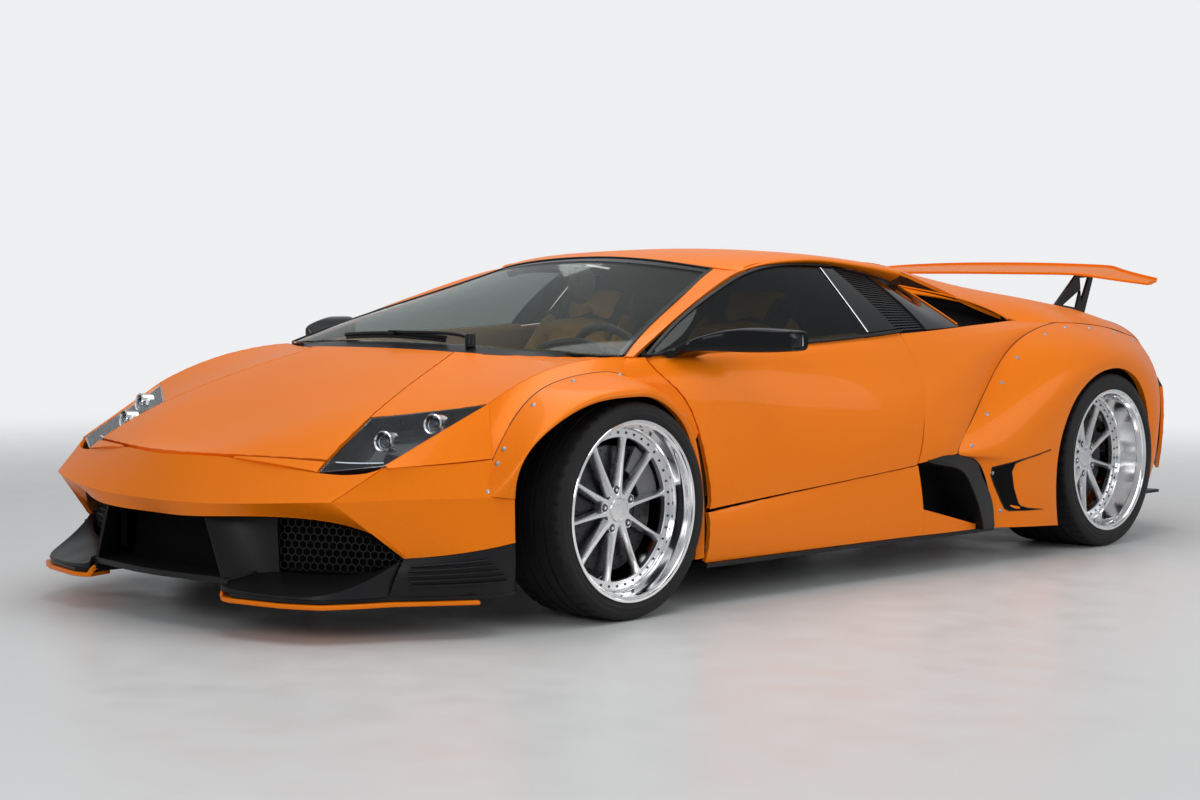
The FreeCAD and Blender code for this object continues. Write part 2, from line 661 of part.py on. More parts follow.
def honeycomb(length, height):
    """An upright plate in the XZ plane with rows of hexagonal holes."""
    outline = [V(0, 0, 0), V(length, 0, 0), V(length, 0, height), V(0, 0, height)]
    holes = []
    pitch = CELL + CELL_WALL
    radius = CELL / math.sqrt(3)
    row_pitch = pitch * math.sqrt(3) / 2
    for row in range(int((height - 2 * CELL_WALL) / row_pitch)):
        shift = pitch / 2 * (row % 2)
        for column in range(int((length - shift - 2 * CELL_WALL) / pitch)):
            across_at = CELL_WALL + pitch / 2 + shift + column * pitch
            centre = V(across_at, 0, CELL_WALL + radius + row * row_pitch)
            turns = [math.radians(60 * k + 30) for k in range(6)]
            ring = [centre + V(radius * math.cos(t), 0, radius * math.sin(t)) for t in turns]
            holes.append(Part.Wire(Part.makePolygon(ring + [ring[0]])))
    rim = Part.Wire(Part.makePolygon(outline + [outline[0]]))
    face = Part.makeFace([rim] + holes, "Part::FaceMakerBullseye")
    return face.extrude(V(0, GRILLE_THICK, 0))


grille_low = at(GRILLE_START[0], GRILLE_START[1], GRILLE_LOW)
grille_end = at(GRILLE_END[0], GRILLE_END[1], GRILLE_LOW)
grille_way = grille_end - grille_low
grille = honeycomb(grille_way.Length, GRILLE_HIGH - GRILLE_LOW)
grille.rotate(V(0, 0, 0), V(0, 0, 1), math.degrees(math.atan2(grille_way.y, grille_way.x)))
grille.translate(grille_low)
grille = trimmed(grille, cheek, pan, nose, nose_side)
keep("front_grilles", both(grille))

# Sills, skirts and side scoops

sill = skin([
    [(943, 372, 292), (950, 700, 320), (968, 1100, 352), (988, 1436, 379)],
    [(948, 372, 215), (958, 700, 225), (972, 1100, 235), (994, 1460, 245)],
    [(930, 372, 134.6), (944, 700, 134.6), (962, 1100, 134.6), (985, 1480, 134.6)],
], gaps=(half_gap, 0.15, 0.15, 0.15))
sill_tail = skin([
    [(994, 1462, 226), (1000, 1640, 185), (1003, 1776, 152)],
    [(985, 1482, 134.6), (998, 1640, 134.6), (1003, 1776, 134.6)],
], thick=10)
keep("sills", both(Part.makeCompound([sill, sill_tail])))
SKIRT_LOW = DRAWN["ride_height"]
SKIRT_THICK = 14
keep("side_skirts", both(slab([(940, 372), (966, 1100), (1006, 1790), (1002, 1900), (850, 1900),
                               (850, 372)], SKIRT_LOW, SKIRT_THICK)))

# Side scoops: a hood that stands out from the flare's front edge, rolls over its mouth and
# runs in to the duct's back wall. An inner wall closes the duct towards the cabin.
HOOD = [
    [(996, 1490, 396), (1007, 1644, 406), (1013, 1759, 377), (1017, 1797, 321), (1019, 1852, 244),
     (1019, 1870, 134.3)],
    [(1000, 1484, 392), (1024, 1545, 378), (1036, 1630, 356), (1038, 1690, 300), (1037, 1745, 220),
     (1033, 1782, 134.3)],
    [(898, 1500, 376), (898, 1560, 366), (898, 1650, 346), (898, 1712, 290), (898, 1765, 214),
     (898, 1800, 134.3)],
]
scoop = skin(HOOD, creases=(1,), thick=8)
duct_wall = slab([(885, 1440), (896.6, 1440), (896.6, 1800), (885, 1800)], 134.3, 240)
scoop = Part.makeCompound([trimmed(scoop, quarter, rear_flare, duct_wall), duct_wall])
keep("side_scoops", both(scoop))

# Wing and its struts

WING_THICK = 16


wing_outer = points(across([
    [(850, 3262, 1014), (620, 3220, 1044), (500, 3210, 1054), (250, 3203, 1056), (0, 3200, 1057)],
    [(850, 3300, 1022), (620, 3350, 1060), (500, 3360, 1070), (250, 3350, 1074), (0, 3345, 1075)],
    [(850, 3336, 1025), (620, 3440, 1066), (500, 3512, 1080), (250, 3500, 1088), (0, 3490, 1090)],
]))
wing_inner = [[p - V(0, 0, WING_THICK) for p in row] for row in wing_outer]
keep("wing", panel(wing_outer, 0, inner=wing_inner))
STRUT = [(3110, 910.5), (3354, 882), (3430, 1055), (3290, 1047)]
STRUT_HOLES = [
    [(3180, 918), (3290, 906), (3322, 985)],
    [(3328, 925), (3388, 1035), (3312, 1031)],
]
strut = upright(500, STRUT, 12)
for hole in STRUT_HOLES:
    strut = strut.cut(upright(500, hole, 20))
keep("wing_struts", both(strut))

# Mirrors on the doors

def loft(sections):
    wires = [Part.makePolygon(ring + [ring[0]]) for ring in sections]
    return Part.makeLoft(wires, True, True)


# Columns: x, front station, rear station, underside, top
MIRROR = [(930, 320, 490, 790, 838), (985, 440, 590, 786, 862),
          (1085, 545, 655, 788, 858), (1102, 580, 650, 800, 845)]
mirror_rings = [[at(857, 250, 767), at(857, 390, 767), at(843, 390, 797), at(843, 250, 797)]]
for x, front, rear, low, high in MIRROR:
    mirror_rings.append([at(x, front, low), at(x, rear, low), at(x, rear, high), at(x, front, high)])
keep_pair("mirror", trimmed(loft(mirror_rings), door))

# Tub: floor, sills, tunnel, footwell and bulkheads round a hollow cabin

def hollow(outer, cuts):
    shape = outer[0].multiFuse(outer[1:]) if len(outer) > 1 else outer[0]
    for cut in cuts:
        shape = shape.cut(cut)
    return shape.removeSplitter()


floor_pan = block((-840, 840), (400, 1560), (140, 165))
side_beam = block((745, 835), (400, 1560), (165, 285))
rear_wall = trimmed(block((-740, 740), (1500, 1540), (165, 940)), vent_panel, mirrored(vent_panel))
footwell = block((-520, 520), (-250, 400), (140, 560))
footwell_room = block((-495, 495), (-225, 401), (165, 535))
scuttle = block((-540, 540), (100, 150), (540, 740))
tunnel = block((-120, 120), (150, 1500), (165, 400))
tub = hollow([floor_pan, side_beam, mirrored(side_beam), rear_wall, footwell, scuttle, tunnel],
             [footwell_room])
keep("tub", Part.makeCompound([tub, cowl]))

# Wheels: a stepped rim with its spokes, hub and brake disc, and a tyre round it. The local
# Z axis is the axle, with 0 at the outer face of the rim.

def origin_plane(body, role):
    for item in body.Origin.OriginFeatures:
        if item.Role == role:
            return item
    raise RuntimeError("no plane " + role)


def bind(item, prop, value):
    if isinstance(value, Size):
        item.setExpression(prop, value.text)


def sketch(body, name, role, corners):
    """A closed outline of straight lines, each corner held by two bound distances."""
    outline = body.newObject("Sketcher::SketchObject", name)
    outline.AttachmentSupport = [(origin_plane(body, role), "")]
    outline.MapMode = "FlatFace"
    count = len(corners)
    ends = [V(float(a), float(b), 0) for a, b in corners]
    for index in range(count):
        outline.addGeometry(Part.LineSegment(ends[index], ends[(index + 1) % count]))
    for index in range(count):
        outline.addConstraint(Sketcher.Constraint("Coincident", index, 2, (index + 1) % count, 1))
    for index, corner in enumerate(corners):
        for kind, value in zip(("DistanceX", "DistanceY"), corner):
            number = outline.addConstraint(
                Sketcher.Constraint(kind, -1, 1, index, 1, float(value)))
            bind(outline, "Constraints[%d]" % number, value)
    return outline


def revolved(body, name, corners):
    """A ring from an outline of (radius, place along the axle)."""
    turn = body.newObject("PartDesign::Revolution", name)
    outline = sketch(body, name + "_outline", "XZ_Plane", corners)
    turn.Profile = outline
    turn.ReferenceAxis = (outline, ["V_Axis"])
    turn.Angle = 360
    return turn


axle_z = {"front": size["front_tyre_radius"], "rear": size["rear_tyre_radius"]}
axle_y = {"front": front_y, "rear": rear_y}
wheel_face = {end: size["half_width"] - size[end + "_face_inset"] for end in ("front", "rear")}
FLANGE = 10
WALL = 8


def wheel_place(end, side):
    """Turns the local axle to point outwards on its side of the car."""
    place = V(side * float(wheel_face[end]), axle_y[end], float(axle_z[end]))
    return FreeCAD.Placement(place, FreeCAD.Rotation(V(0, 1, 0), side * 90))


def make_rim(end, name, side):
    body = doc.addObject("PartDesign::Body", name)
    width = size[end + "_tyre_width"]
    dish = size[end + "_dish"]
    flange = size["flange_radius"]
    barrel = size["barrel_radius"]
    back = dish + size["spoke_thick"]
    disc_out = back + size["brake_gap"] * 2 + 9
    disc_in = disc_out + size["disc_thick"]
    revolved(body, name + "_barrel", [
        (flange, Size(0, "0")), (flange, Size(-FLANGE, "-10")), (flange - 15, Size(-FLANGE, "-10")),
        (barrel + WALL, -back), (barrel + WALL, -(width - 40)), (flange - 15, -(width - FLANGE)),
        (flange, -(width - FLANGE)), (flange, -width), (flange - 8, -width),
        (barrel, -(width - 42)), (barrel, -dish), (flange - 22, Size(-12, "-12")),
        (flange - 9, Size(0, "0"))])
    revolved(body, name + "_hub", [
        (Size(0, "0"), -dish + 6), (size["hub_radius"] - 20, -dish + 6), (size["hub_radius"], -dish),
        (size["hub_radius"], -disc_out), (size["disc_radius"], -disc_out),
        (size["disc_radius"], -disc_in), (Size(0, "0"), -disc_in)])
    spoke = body.newObject("PartDesign::Pad", name + "_spoke")
    outline = sketch(body, name + "_spoke_outline", "XY_Plane", [
        (size["hub_radius"] - 6, Size(-15, "-15")), (barrel + 4, Size(-9, "-9")),
        (barrel + 4, Size(9, "9")), (size["hub_radius"] - 6, Size(15, "15"))])
    bind(outline, "AttachmentOffset.Base.z", -back)
    spoke.Profile = outline
    bind(spoke, "Length", size["spoke_thick"])
    pattern = body.newObject("PartDesign::PolarPattern", name + "_spokes")
    pattern.Originals = [spoke]
    pattern.Axis = (outline, ["N_Axis"])
    pattern.Angle = 360
    pattern.Occurrences = int(num["spoke_count"])
    bind(pattern, "Occurrences", size["spoke_count"])
    body.Tip = pattern
    body.Placement = wheel_place(end, side)
    subparts.append(body)
    return body


def make_tyre(end, name, side):
    body = doc.addObject("PartDesign::Body", name)
    width = size[end + "_tyre_width"]
    radius = size[end + "_tyre_radius"]
    bead = size["flange_radius"] - 14
    wall = size["flange_radius"] + 18
    revolved(body, name + "_ring", [
        (bead, Size(-18, "-18")), (wall, Size(-1, "-1")), (radius - 9, Size(-3, "-3")),
        (radius, Size(-20, "-20")), (radius, -(width - 20)), (radius - 9, -(width - 3)),
        (wall, -(width - 1)), (bead, -(width - 18))])
    body.Placement = wheel_place(end, side)
    subparts.append(body)
    return body


for end in ("front", "rear"):
    for side_name, side in (("left", 1), ("right", -1)):
        make_rim(end, "rim_%s_%s" % (end, side_name), side)
        make_tyre(end, "tyre_%s_%s" % (end, side_name), side)

# Uprights with the calipers. x positions run inboard from the spokes' inner face

CHEEK = 9


def brake_x(end):
    back = float(wheel_face[end]) - num[end + "_dish"] - num["spoke_thick"]
    caliper_out = back - num["brake_gap"]
    disc_out = back - 2 * num["brake_gap"] - CHEEK
    disc_in = disc_out - num["disc_thick"]
    return caliper_out, disc_out, disc_in


def ring_part(corners, end, start_angle, sweep):
    """An outline of (x, radius) swept about the axle."""
    centre = V(0, axle_y[end], float(axle_z[end]))
    ring = [centre + V(x, radius, 0) for x, radius in corners]
    face = Part.Face(Part.makePolygon(ring + [ring[0]]))
    face.rotate(centre, V(1, 0, 0), start_angle)
    return face.revolve(centre, V(1, 0, 0), sweep)


CALIPER_START = {"front": 5, "rear": 120}


def upright_shape(end):
    """Hub carrier on the left side: plate, spindle boss and the caliper over the disc."""
    caliper_out, disc_out, disc_in = brake_x(end)
    inner = disc_in - num["brake_gap"]
    y, z = axle_y[end], float(axle_z[end])
    boss = Part.makeCylinder(46, disc_in - 0.3 - (inner - 40), V(inner - 40, y, z), V(1, 0, 0))
    top = num["disc_radius"] + num["brake_gap"]
    start = CALIPER_START[end]
    caliper = ring_part([(inner - 22, 112), (inner, 112), (inner, top), (disc_out + 5, top),
                         (disc_out + 5, 128), (caliper_out, 128), (caliper_out, top + 14),
                         (inner - 22, top + 14)], end, start, 55)
    web = ring_part([(inner - 22, 30), (inner - 2, 30), (inner - 2, 130), (inner - 22, 130)],
                    end, start + 8, 39)
    return boss.multiFuse([caliper, web])


steer_x = float(wheel_face["front"]) - num["steer_inset"]
BALL_RISE = 130
BALL_HALF = 13
post_half = BALL_RISE - BALL_HALF - 0.3
front_axle = V(0, front_y, num["front_tyre_radius"])
post = Part.makeCylinder(17, 2 * post_half, front_axle + V(steer_x, 0, -post_half))
knuckle = upright_shape("front").fuse(post)
keep_pair("knuckle", knuckle.removeSplitter())

# Subframes with the suspension arms and driveshafts


def arm(end, ball_x, pivot_x, rise, spread, radius):
    """A wishbone on the left side: two bars from the frame and the ball joint's housing."""
    axle = V(0, axle_y[end], float(axle_z[end]))
    ball = axle + V(ball_x, 0, rise)
    bars = [bar(axle + V(pivot_x, side * spread, rise * 0.8), ball, radius) for side in (-1, 1)]
    housing = Part.makeCylinder(18, 2 * BALL_HALF, ball - V(0, 0, BALL_HALF))
    return bars[0].multiFuse([bars[1], housing])


front_rail = block((430, 490), (-700, -250.3), (200, 300))
front_cross = block((-430, 430), (-700, -640), (200, 300))
front_beam = front_rail.multiFuse([mirrored(front_rail), front_cross]).removeSplitter()
front_pieces = [front_beam]
for rise in (-BALL_RISE, BALL_RISE):
    wishbone = arm("front", steer_x, 525, rise, 120, 11)
    front_pieces += [wishbone, mirrored(wishbone)]
keep("front_frame", Part.makeCompound(front_pieces))

caliper_out, disc_out, disc_in = brake_x("rear")
rear_axle = V(0, rear_y, num["rear_tyre_radius"])
rear_rail = block((380, 440), (1540.3, 3150), (200, 280))
rear_cross = block((-380, 380), (3090, 3150), (200, 280))
rear_ball_x = disc_in - 40
rear_post = Part.makeCylinder(17, 2 * BALL_RISE, rear_axle + V(rear_ball_x, 0, -BALL_RISE))
rear_side = upright_shape("rear").multiFuse(
    [rear_post, rear_rail] + [arm("rear", rear_ball_x, 420, rise, 140, 13) for rise in (-BALL_RISE,)])
upper = arm("rear", rear_ball_x, 360, BALL_RISE, 140, 13)
shaft = bar(rear_axle + V(150, 0, 0), rear_axle + V(rear_ball_x, 0, 0), 18)
rear_side = rear_side.multiFuse([upper, shaft])
rear_frame = rear_side.multiFuse([mirrored(rear_side), rear_cross])
keep("rear_frame", rear_frame.removeSplitter())

# Engine and gearbox: one plain block between the rails

engine = block((-300, 300), (1640, 2420), (190, 700)).fuse(block((-149.7, 149.7), (2420, 2900), (210, 480)))
keep("engine_block", engine.removeSplitter())

# Rear diffuser and exhaust

diffuser_base = plate([at(x, 3200, z) for x, z in ((-760, 130), (760, 130), (760, 142), (-760, 142))],
                      at(0, 3560, 0) - at(0, 3200, 0))
fins = []
for fin_x, fin_end, fin_top in ((280, 3558, 349), (560, 3520, 341)):
    fin = upright(fin_x, [(3200, 142), (fin_end, 142), (fin_end, fin_top), (fin_end - 70, fin_top)], 10)
    fins += [fin, mirrored(fin)]
keep("diffuser", diffuser_base.multiFuse(fins).removeSplitter())
pipe = bar(at(0, 3160, EXHAUST_Z), at(0, 3608, EXHAUST_Z), PIPE_RADIUS)
pipe_bore = bar(at(0, 3300, EXHAUST_Z), at(0, 3700, EXHAUST_Z), PIPE_RADIUS - 6)
keep("exhaust", pipe.cut(pipe_bore))

# Seats, dashboard, steering wheel and wiper

SEAT_SIDE = [(560, 165.3), (1090, 165.3), (1100, 330), (1010, 300), (580, 340)]
SEAT_BACK = [(1010, 301), (1110, 301), (1330, 900), (1250, 905)]
BOLSTER = [(575, 300), (610, 392), (900, 372), (1000, 425), (1165, 760), (1280, 850),
           (1312, 850), (1110, 300)]
SEAT_X = 390
seat_parts = [upright(SEAT_X, SEAT_BACK, 410)]
for side in (-1, 1):
    seat_parts.append(upright(SEAT_X + side * 215, BOLSTER, 60))
seat = upright(SEAT_X, SEAT_SIDE, 470).multiFuse(seat_parts)
keep("seats", both(seat.removeSplitter()))
DASH_TOP = [(151, 675), (446, 675), (430, 730), (260, 770), (151, 735)]
DASH_LOW = [(151, 560), (420, 560), (455, 640), (446, 676), (151, 676)]
dashboard = upright(0, DASH_TOP, 1380).fuse(upright(0, DASH_LOW, 1040))
keep("dashboard", dashboard.removeSplitter())
wheel_centre = at(370, 560, 690)
wheel_way = V(0, -0.94, -0.34)
RING_RADIUS = 178
GRIP = 14
corners = []
for index in range(6):
    turn = math.radians(60 * index)
    reach = V(RING_RADIUS + GRIP * math.cos(turn), 0, 0)
    corners.append(wheel_centre + reach + wheel_way * (GRIP * math.sin(turn)))
grip_face = Part.Face(Part.makePolygon(corners + [corners[0]]))
steering_ring = grip_face.revolve(wheel_centre, wheel_way, 360)
column = bar(wheel_centre - wheel_way * 8, wheel_centre + wheel_way * 102, 34)
spokes = [bar(wheel_centre, wheel_centre + V(side * RING_RADIUS, 0, 0), 11) for side in (-1, 1)]
keep("steering_wheel", steering_ring.multiFuse([column] + spokes))
wiper_arm = bar(at(300, -62, 808), at(-150, -70, 824), 6)
wiper_foot = bar(at(300, -62, 788.5), at(300, -62, 814), 12)
keep("wiper", trimmed(wiper_arm.fuse(wiper_foot), cowl, windscreen))

# Check and export

doc.recompute()
for item in doc.Objects:
    if "Invalid" in item.State or "Error" in item.State:
        raise RuntimeError("failed: " + item.Label)
os.makedirs("parts", exist_ok=True)
for item in subparts:
    if item.Shape.isNull() or not item.Shape.isValid():
        raise RuntimeError("bad shape: " + item.Label)
    item.Shape.exportStep("parts/%s.step" % item.Label)
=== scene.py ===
"""Looks of the wide-body supercar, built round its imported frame.

Metres, nose towards -Y, the car's left at +X. Body tables repeat the part's own lines in
millimetres as (x, station, z), with the station measured rearwards from the front axle.
"""
import math

import bmesh
import bpy
import numpy as np
from mathutils import Matrix, Vector


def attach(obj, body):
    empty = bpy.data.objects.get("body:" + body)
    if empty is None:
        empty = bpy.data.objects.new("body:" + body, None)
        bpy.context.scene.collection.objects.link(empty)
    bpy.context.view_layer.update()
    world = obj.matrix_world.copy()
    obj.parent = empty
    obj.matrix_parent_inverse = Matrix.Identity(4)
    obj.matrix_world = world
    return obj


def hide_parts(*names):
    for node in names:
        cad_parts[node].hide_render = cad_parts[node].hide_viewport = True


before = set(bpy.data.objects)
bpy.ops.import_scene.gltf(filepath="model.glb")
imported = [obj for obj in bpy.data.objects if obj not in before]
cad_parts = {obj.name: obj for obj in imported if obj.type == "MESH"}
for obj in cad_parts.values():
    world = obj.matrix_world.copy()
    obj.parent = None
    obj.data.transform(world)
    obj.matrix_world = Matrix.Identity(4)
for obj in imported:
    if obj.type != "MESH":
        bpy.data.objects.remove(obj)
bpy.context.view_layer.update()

MM = 0.001
FRONT_AXLE = -1275
WHEELBASE = 2665
FRONT_RADIUS = 326
REAR_RADIUS = 333.5
HINGE_STATION = 120
HINGE_HEIGHT = 750
DOOR_REACH = 1362

# Surfaces worked out with numpy


def spread(count, fine):
    """Matrix from evenly spaced points to fine steps per span on the smooth curve through them.

    Two points give a line, three a parabola and more a cubic spline whose end slopes are those
    of the cubic through its outer four points.
    """
    t = np.linspace(0, count - 1, (count - 1) * fine + 1)
    if count == 2:
        return np.stack([1 - t, t], 1)
    if count == 3:
        return np.stack([(t - 1) * (t - 2) / 2, t * (2 - t), t * (t - 1) / 2], 1)
    system = np.zeros((count, count))
    right = np.zeros((count, count))
    end = np.array([-11, 18, -9, 2]) / 6
    system[0, 0] = system[-1, -1] = 1
    right[0, :4] = end
    right[-1, -4:] = -end[::-1]
    for i in range(1, count - 1):
        system[i, i - 1:i + 2] = 1, 4, 1
        right[i, i - 1], right[i, i + 1] = -3, 3
    slopes = np.linalg.solve(system, right)
    span = np.minimum(t.astype(int), count - 2)
    u = (t - span)[:, None]
    one = np.eye(count)
    return ((2 * u ** 3 - 3 * u ** 2 + 1) * one[span] + (u ** 3 - 2 * u ** 2 + u) * slopes[span]
            + (3 * u ** 2 - 2 * u ** 3) * one[span + 1] + (u ** 3 - u ** 2) * slopes[span + 1])


def place(rows):
    """Table rows in millimetres to points in metres."""
    points = np.array(rows, float)
    points[..., 1] += FRONT_AXLE
    return points * MM


def pull(points, edge, distance):
    """Moves one edge of a grid of points towards its neighbour row by a distance."""
    if distance:
        step = points[edge[1]] - points[edge[0]]
        length = np.linalg.norm(step, axis=-1, keepdims=True)
        points[edge[0]] = points[edge[0]] + step / np.maximum(length, 1e-9) * distance


def inset(points, gaps):
    """Pulls in the first and last rows and the starts and ends of the rows."""
    points = points.copy()
    pull(points, (0, 1), gaps[0])
    pull(points, (-1, -2), gaps[1])
    turned = np.swapaxes(points, 0, 1)
    pull(turned, (0, 1), gaps[2])
    pull(turned, (-1, -2), gaps[3])
    return points


def fine_grid(points, creases=(), fine=(8, 8)):
    """The smooth surface through a grid of points: spline across the rows between creases."""
    cuts = [0] + list(creases) + [len(points) - 1]
    along = spread(points.shape[1], fine[1])
    parts = []
    for low, high in zip(cuts, cuts[1:]):
        over = spread(high - low + 1, fine[0])
        patch = np.einsum("ai,ijk,bj->abk", over, points[low:high + 1], along)
        parts.append(patch if low == 0 else patch[1:])
    return np.concatenate(parts)


def normals_of(grid):
    """Unit normals of a grid: the cross product of its two directions of travel."""
    across = np.gradient(grid, axis=1)
    down = np.gradient(grid, axis=0)
    way = np.cross(across, down)
    return way / np.maximum(np.linalg.norm(way, axis=-1, keepdims=True), 1e-12)


def outward(grid):
    """Normals of a body panel, turned away from a core that runs along the car."""
    way = normals_of(grid)
    core = grid.copy()
    core[..., 0] = np.clip(grid[..., 0], -0.35, 0.35)
    core[..., 1] = np.clip(grid[..., 1], -1.875, 1.77)
    core[..., 2] = 0.45
    return way if np.sum(way * (grid - core)) > 0 else -way


# Meshes and their materials


def mesh_object(name, vertices, faces, material, body="root", smooth=30):
    """A mesh object that rides on a body, smooth but for edges sharper than an angle."""
    mesh = bpy.data.meshes.new(name)
    mesh.from_pydata(np.asarray(vertices).reshape(-1, 3).tolist(), [], faces)
    mesh.validate()
    mesh.update()
    if smooth:
        mesh.shade_smooth()
        mesh.set_sharp_from_angle(angle=math.radians(smooth))
    piece = bpy.data.objects.new(name, mesh)
    bpy.context.scene.collection.objects.link(piece)
    if material:
        mesh.materials.append(material)
    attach(piece, body)
    return piece


def quads(rows, columns, start=0, closed=False, flip=False):
    """Faces of a grid of vertices numbered row by row; closed joins the last column to the first."""
    last = columns if closed else columns - 1
    i, j = np.meshgrid(np.arange(rows - 1), np.arange(last), indexing="ij")
    k = (j + 1) % columns
    cells = np.stack([i * columns + j, i * columns + k, (i + 1) * columns + k, (i + 1) * columns + j], -1)
    if flip:
        cells = cells[..., ::-1]
    return (cells.reshape(-1, 4) + start).tolist()


def ring_quads(rows, columns, flip=False):
    """Faces of a grid of vertices that closes on itself both ways."""
    return [[v % (rows * columns) for v in cell]
            for cell in quads(rows + 1, columns, closed=True, flip=flip)]


def rim_of(rows, columns):
    """Numbers of the vertices round the rim of a grid, in order."""
    number = np.arange(rows * columns).reshape(rows, columns)
    return np.concatenate([number[0], number[1:, -1], number[-1, -2::-1], number[-2:0:-1, 0]])


def rim_quads(rows, columns):
    """Faces between the rim of a grid and the rim of a second grid numbered after it."""
    loop = rim_of(rows, columns)
    ahead = np.roll(loop, -1)
    count = rows * columns
    return np.stack([loop, loop + count, ahead + count, ahead], -1)


def lidded(rings, ends=None):
    """A stack of rings with a fan over each end, about the given points or the end rings' middles."""
    steps, count = rings.shape[:2]
    ends = (rings[0].mean(0), rings[-1].mean(0)) if ends is None else ends
    points = np.concatenate([rings.reshape(-1, 3), ends])
    faces = quads(steps, count, closed=True)
    k = np.arange(count)
    start, last = steps * count, (steps - 1) * count
    faces += np.stack([k * 0 + start, (k + 1) % count, k], -1).tolist()
    faces += np.stack([k * 0 + start + 1, last + k, last + (k + 1) % count], -1).tolist()
    return points, faces


def shell_mesh(grid, thick, way=None):
    """Vertices and faces of a closed shell: the grid, the grid moved inwards and the rim between."""
    way = outward(grid) if way is None else way
    rows, columns = grid.shape[:2]
    flat = np.concatenate([grid.reshape(-1, 3), (grid - way * thick).reshape(-1, 3)])
    flip = np.sum(normals_of(grid) * way) > 0
    count = rows * columns
    faces = quads(rows, columns, flip=not flip) + quads(rows, columns, count, flip=flip)
    rim = rim_quads(rows, columns)
    if not flip:
        rim = rim[:, ::-1]
    return flat, faces + rim[:, ::-1].tolist()


def bevel(piece, width, segments=2, angle=40):
    """Rounds the edges sharper than an angle."""
    rounding = piece.modifiers.new("rounding", "BEVEL")
    rounding.width = width
    rounding.segments = segments
    rounding.limit_method = "ANGLE"
    rounding.angle_limit = math.radians(angle)
    rounding.harden_normals = True
    return piece


SHUT = 0.0018
SHUTS = (SHUT,) * 4
PANEL_ROUNDING = 0.0012


def skin(name, rows, material, body="root", creases=(), gaps=SHUTS, thick=0.012, fine=(8, 8),
         side=1, smooth=16, proud=0.0):
    """A body panel from a table of rows, on the left (side 1) or mirrored to the right (-1).
    """
    grid = fine_grid(inset(place(rows), gaps), creases, fine)
    if proud:
        grid = grid + outward(grid) * proud
    if side < 0:
        grid = grid * (-1, 1, 1)
    vertices, faces = shell_mesh(grid, thick)
    piece = mesh_object(name, vertices, faces, material, body, smooth)
    return bevel(piece, PANEL_ROUNDING)


def across(rows):
    """Rows given from the left side to the centre plane, completed to the right side."""
    return [row + [(-x, station, z) for x, station, z in reversed(row[:-1])] for row in rows]


def joined(parts):
    """Several (vertices, faces) put into one."""
    vertices, faces, start = [], [], 0
    for points, cells in parts:
        points = np.asarray(points, float).reshape(-1, 3)
        vertices.append(points)
        faces += [[v + start for v in cell] for cell in cells]
        start += len(points)
    return np.concatenate(vertices), faces


def flipped(part):
    """A part mirrored to the other side of the car, with its faces turned to match."""
    points, cells = part
    return np.asarray(points, float).reshape(-1, 3) * (-1, 1, 1), [list(c)[::-1] for c in cells]


def on_side(part, side):
    """A part as it is on the left (side 1), or mirrored to the right (-1)."""
    return part if side > 0 else flipped(part)


def both(part):
    """A part together with its mirror image."""
    return joined([part, flipped(part)])


def unit(ways):
    """Vectors divided by their lengths."""
    ways = np.asarray(ways, float)
    return ways / np.maximum(np.linalg.norm(ways, axis=-1, keepdims=True), 1e-12)


def turns(count):
    """Angles evenly spread over one turn."""
    return np.arange(count) * 2 * np.pi / count


def frames_on(places, ways):
    """Placements whose third axis runs along each way and whose first axis is level."""
    third = unit(np.broadcast_to(ways, np.shape(places)))
    steep = np.abs(third[:, 2:3]) > 0.9
    guide = np.where(steep, (1.0, 0.0, 0.0), (0.0, 0.0, 1.0))
    first = unit(np.cross(guide, third))
    second = np.cross(third, first)
    frames = np.zeros((len(third), 4, 4))
    frames[:, :3, 0], frames[:, :3, 1], frames[:, :3, 2] = first, second, third
    frames[:, :3, 3] = places
    frames[:, 3, 3] = 1
    return frames


def copies(part, frames):
    """One part repeated at every placement: each point times the placement's turn, plus its place."""
    points, cells = part
    points = np.asarray(points, float).reshape(-1, 3)
    placed = np.einsum("nij,kj->nki", frames[:, :3, :3], points) + frames[:, None, :3, 3]
    count = len(points)
    faces = [[v + count * n for v in cell] for n in range(len(frames)) for cell in cells]
    return placed.reshape(-1, 3), faces


def turned(profile, steps):
    """Surface of revolution about the third axis: ring point (r cos a, r sin a, h) for each (r, h).

    An end of the profile on the axis becomes one vertex with a fan round it. A profile whose last
    point repeats its first closes on itself.
    """
    profile = np.asarray(profile, float)
    closed = np.allclose(profile[0], profile[-1])
    first_pole = not closed and profile[0, 0] == 0
    last_pole = not closed and profile[-1, 0] == 0
    rings = profile[int(first_pole):len(profile) - int(last_pole or closed)]
    angle = turns(steps)
    points = np.stack([rings[:, :1] * np.cos(angle), rings[:, :1] * np.sin(angle),
                       np.repeat(rings[:, 1:], steps, 1)], -1).reshape(-1, 3)
    faces = ring_quads(len(rings), steps) if closed else quads(len(rings), steps, closed=True)
    step = np.arange(steps)
    if first_pole:
        points = np.concatenate([points, [[0, 0, profile[0, 1]]]])
        faces += np.stack([step * 0 + len(points) - 1, (step + 1) % steps, step], -1).tolist()
    if last_pole:
        start = (len(rings) - 1) * steps
        points = np.concatenate([points, [[0, 0, profile[-1, 1]]]])
        faces += np.stack([step * 0 + len(points) - 1, start + step, start + (step + 1) % steps],
                          -1).tolist()
    return points, faces


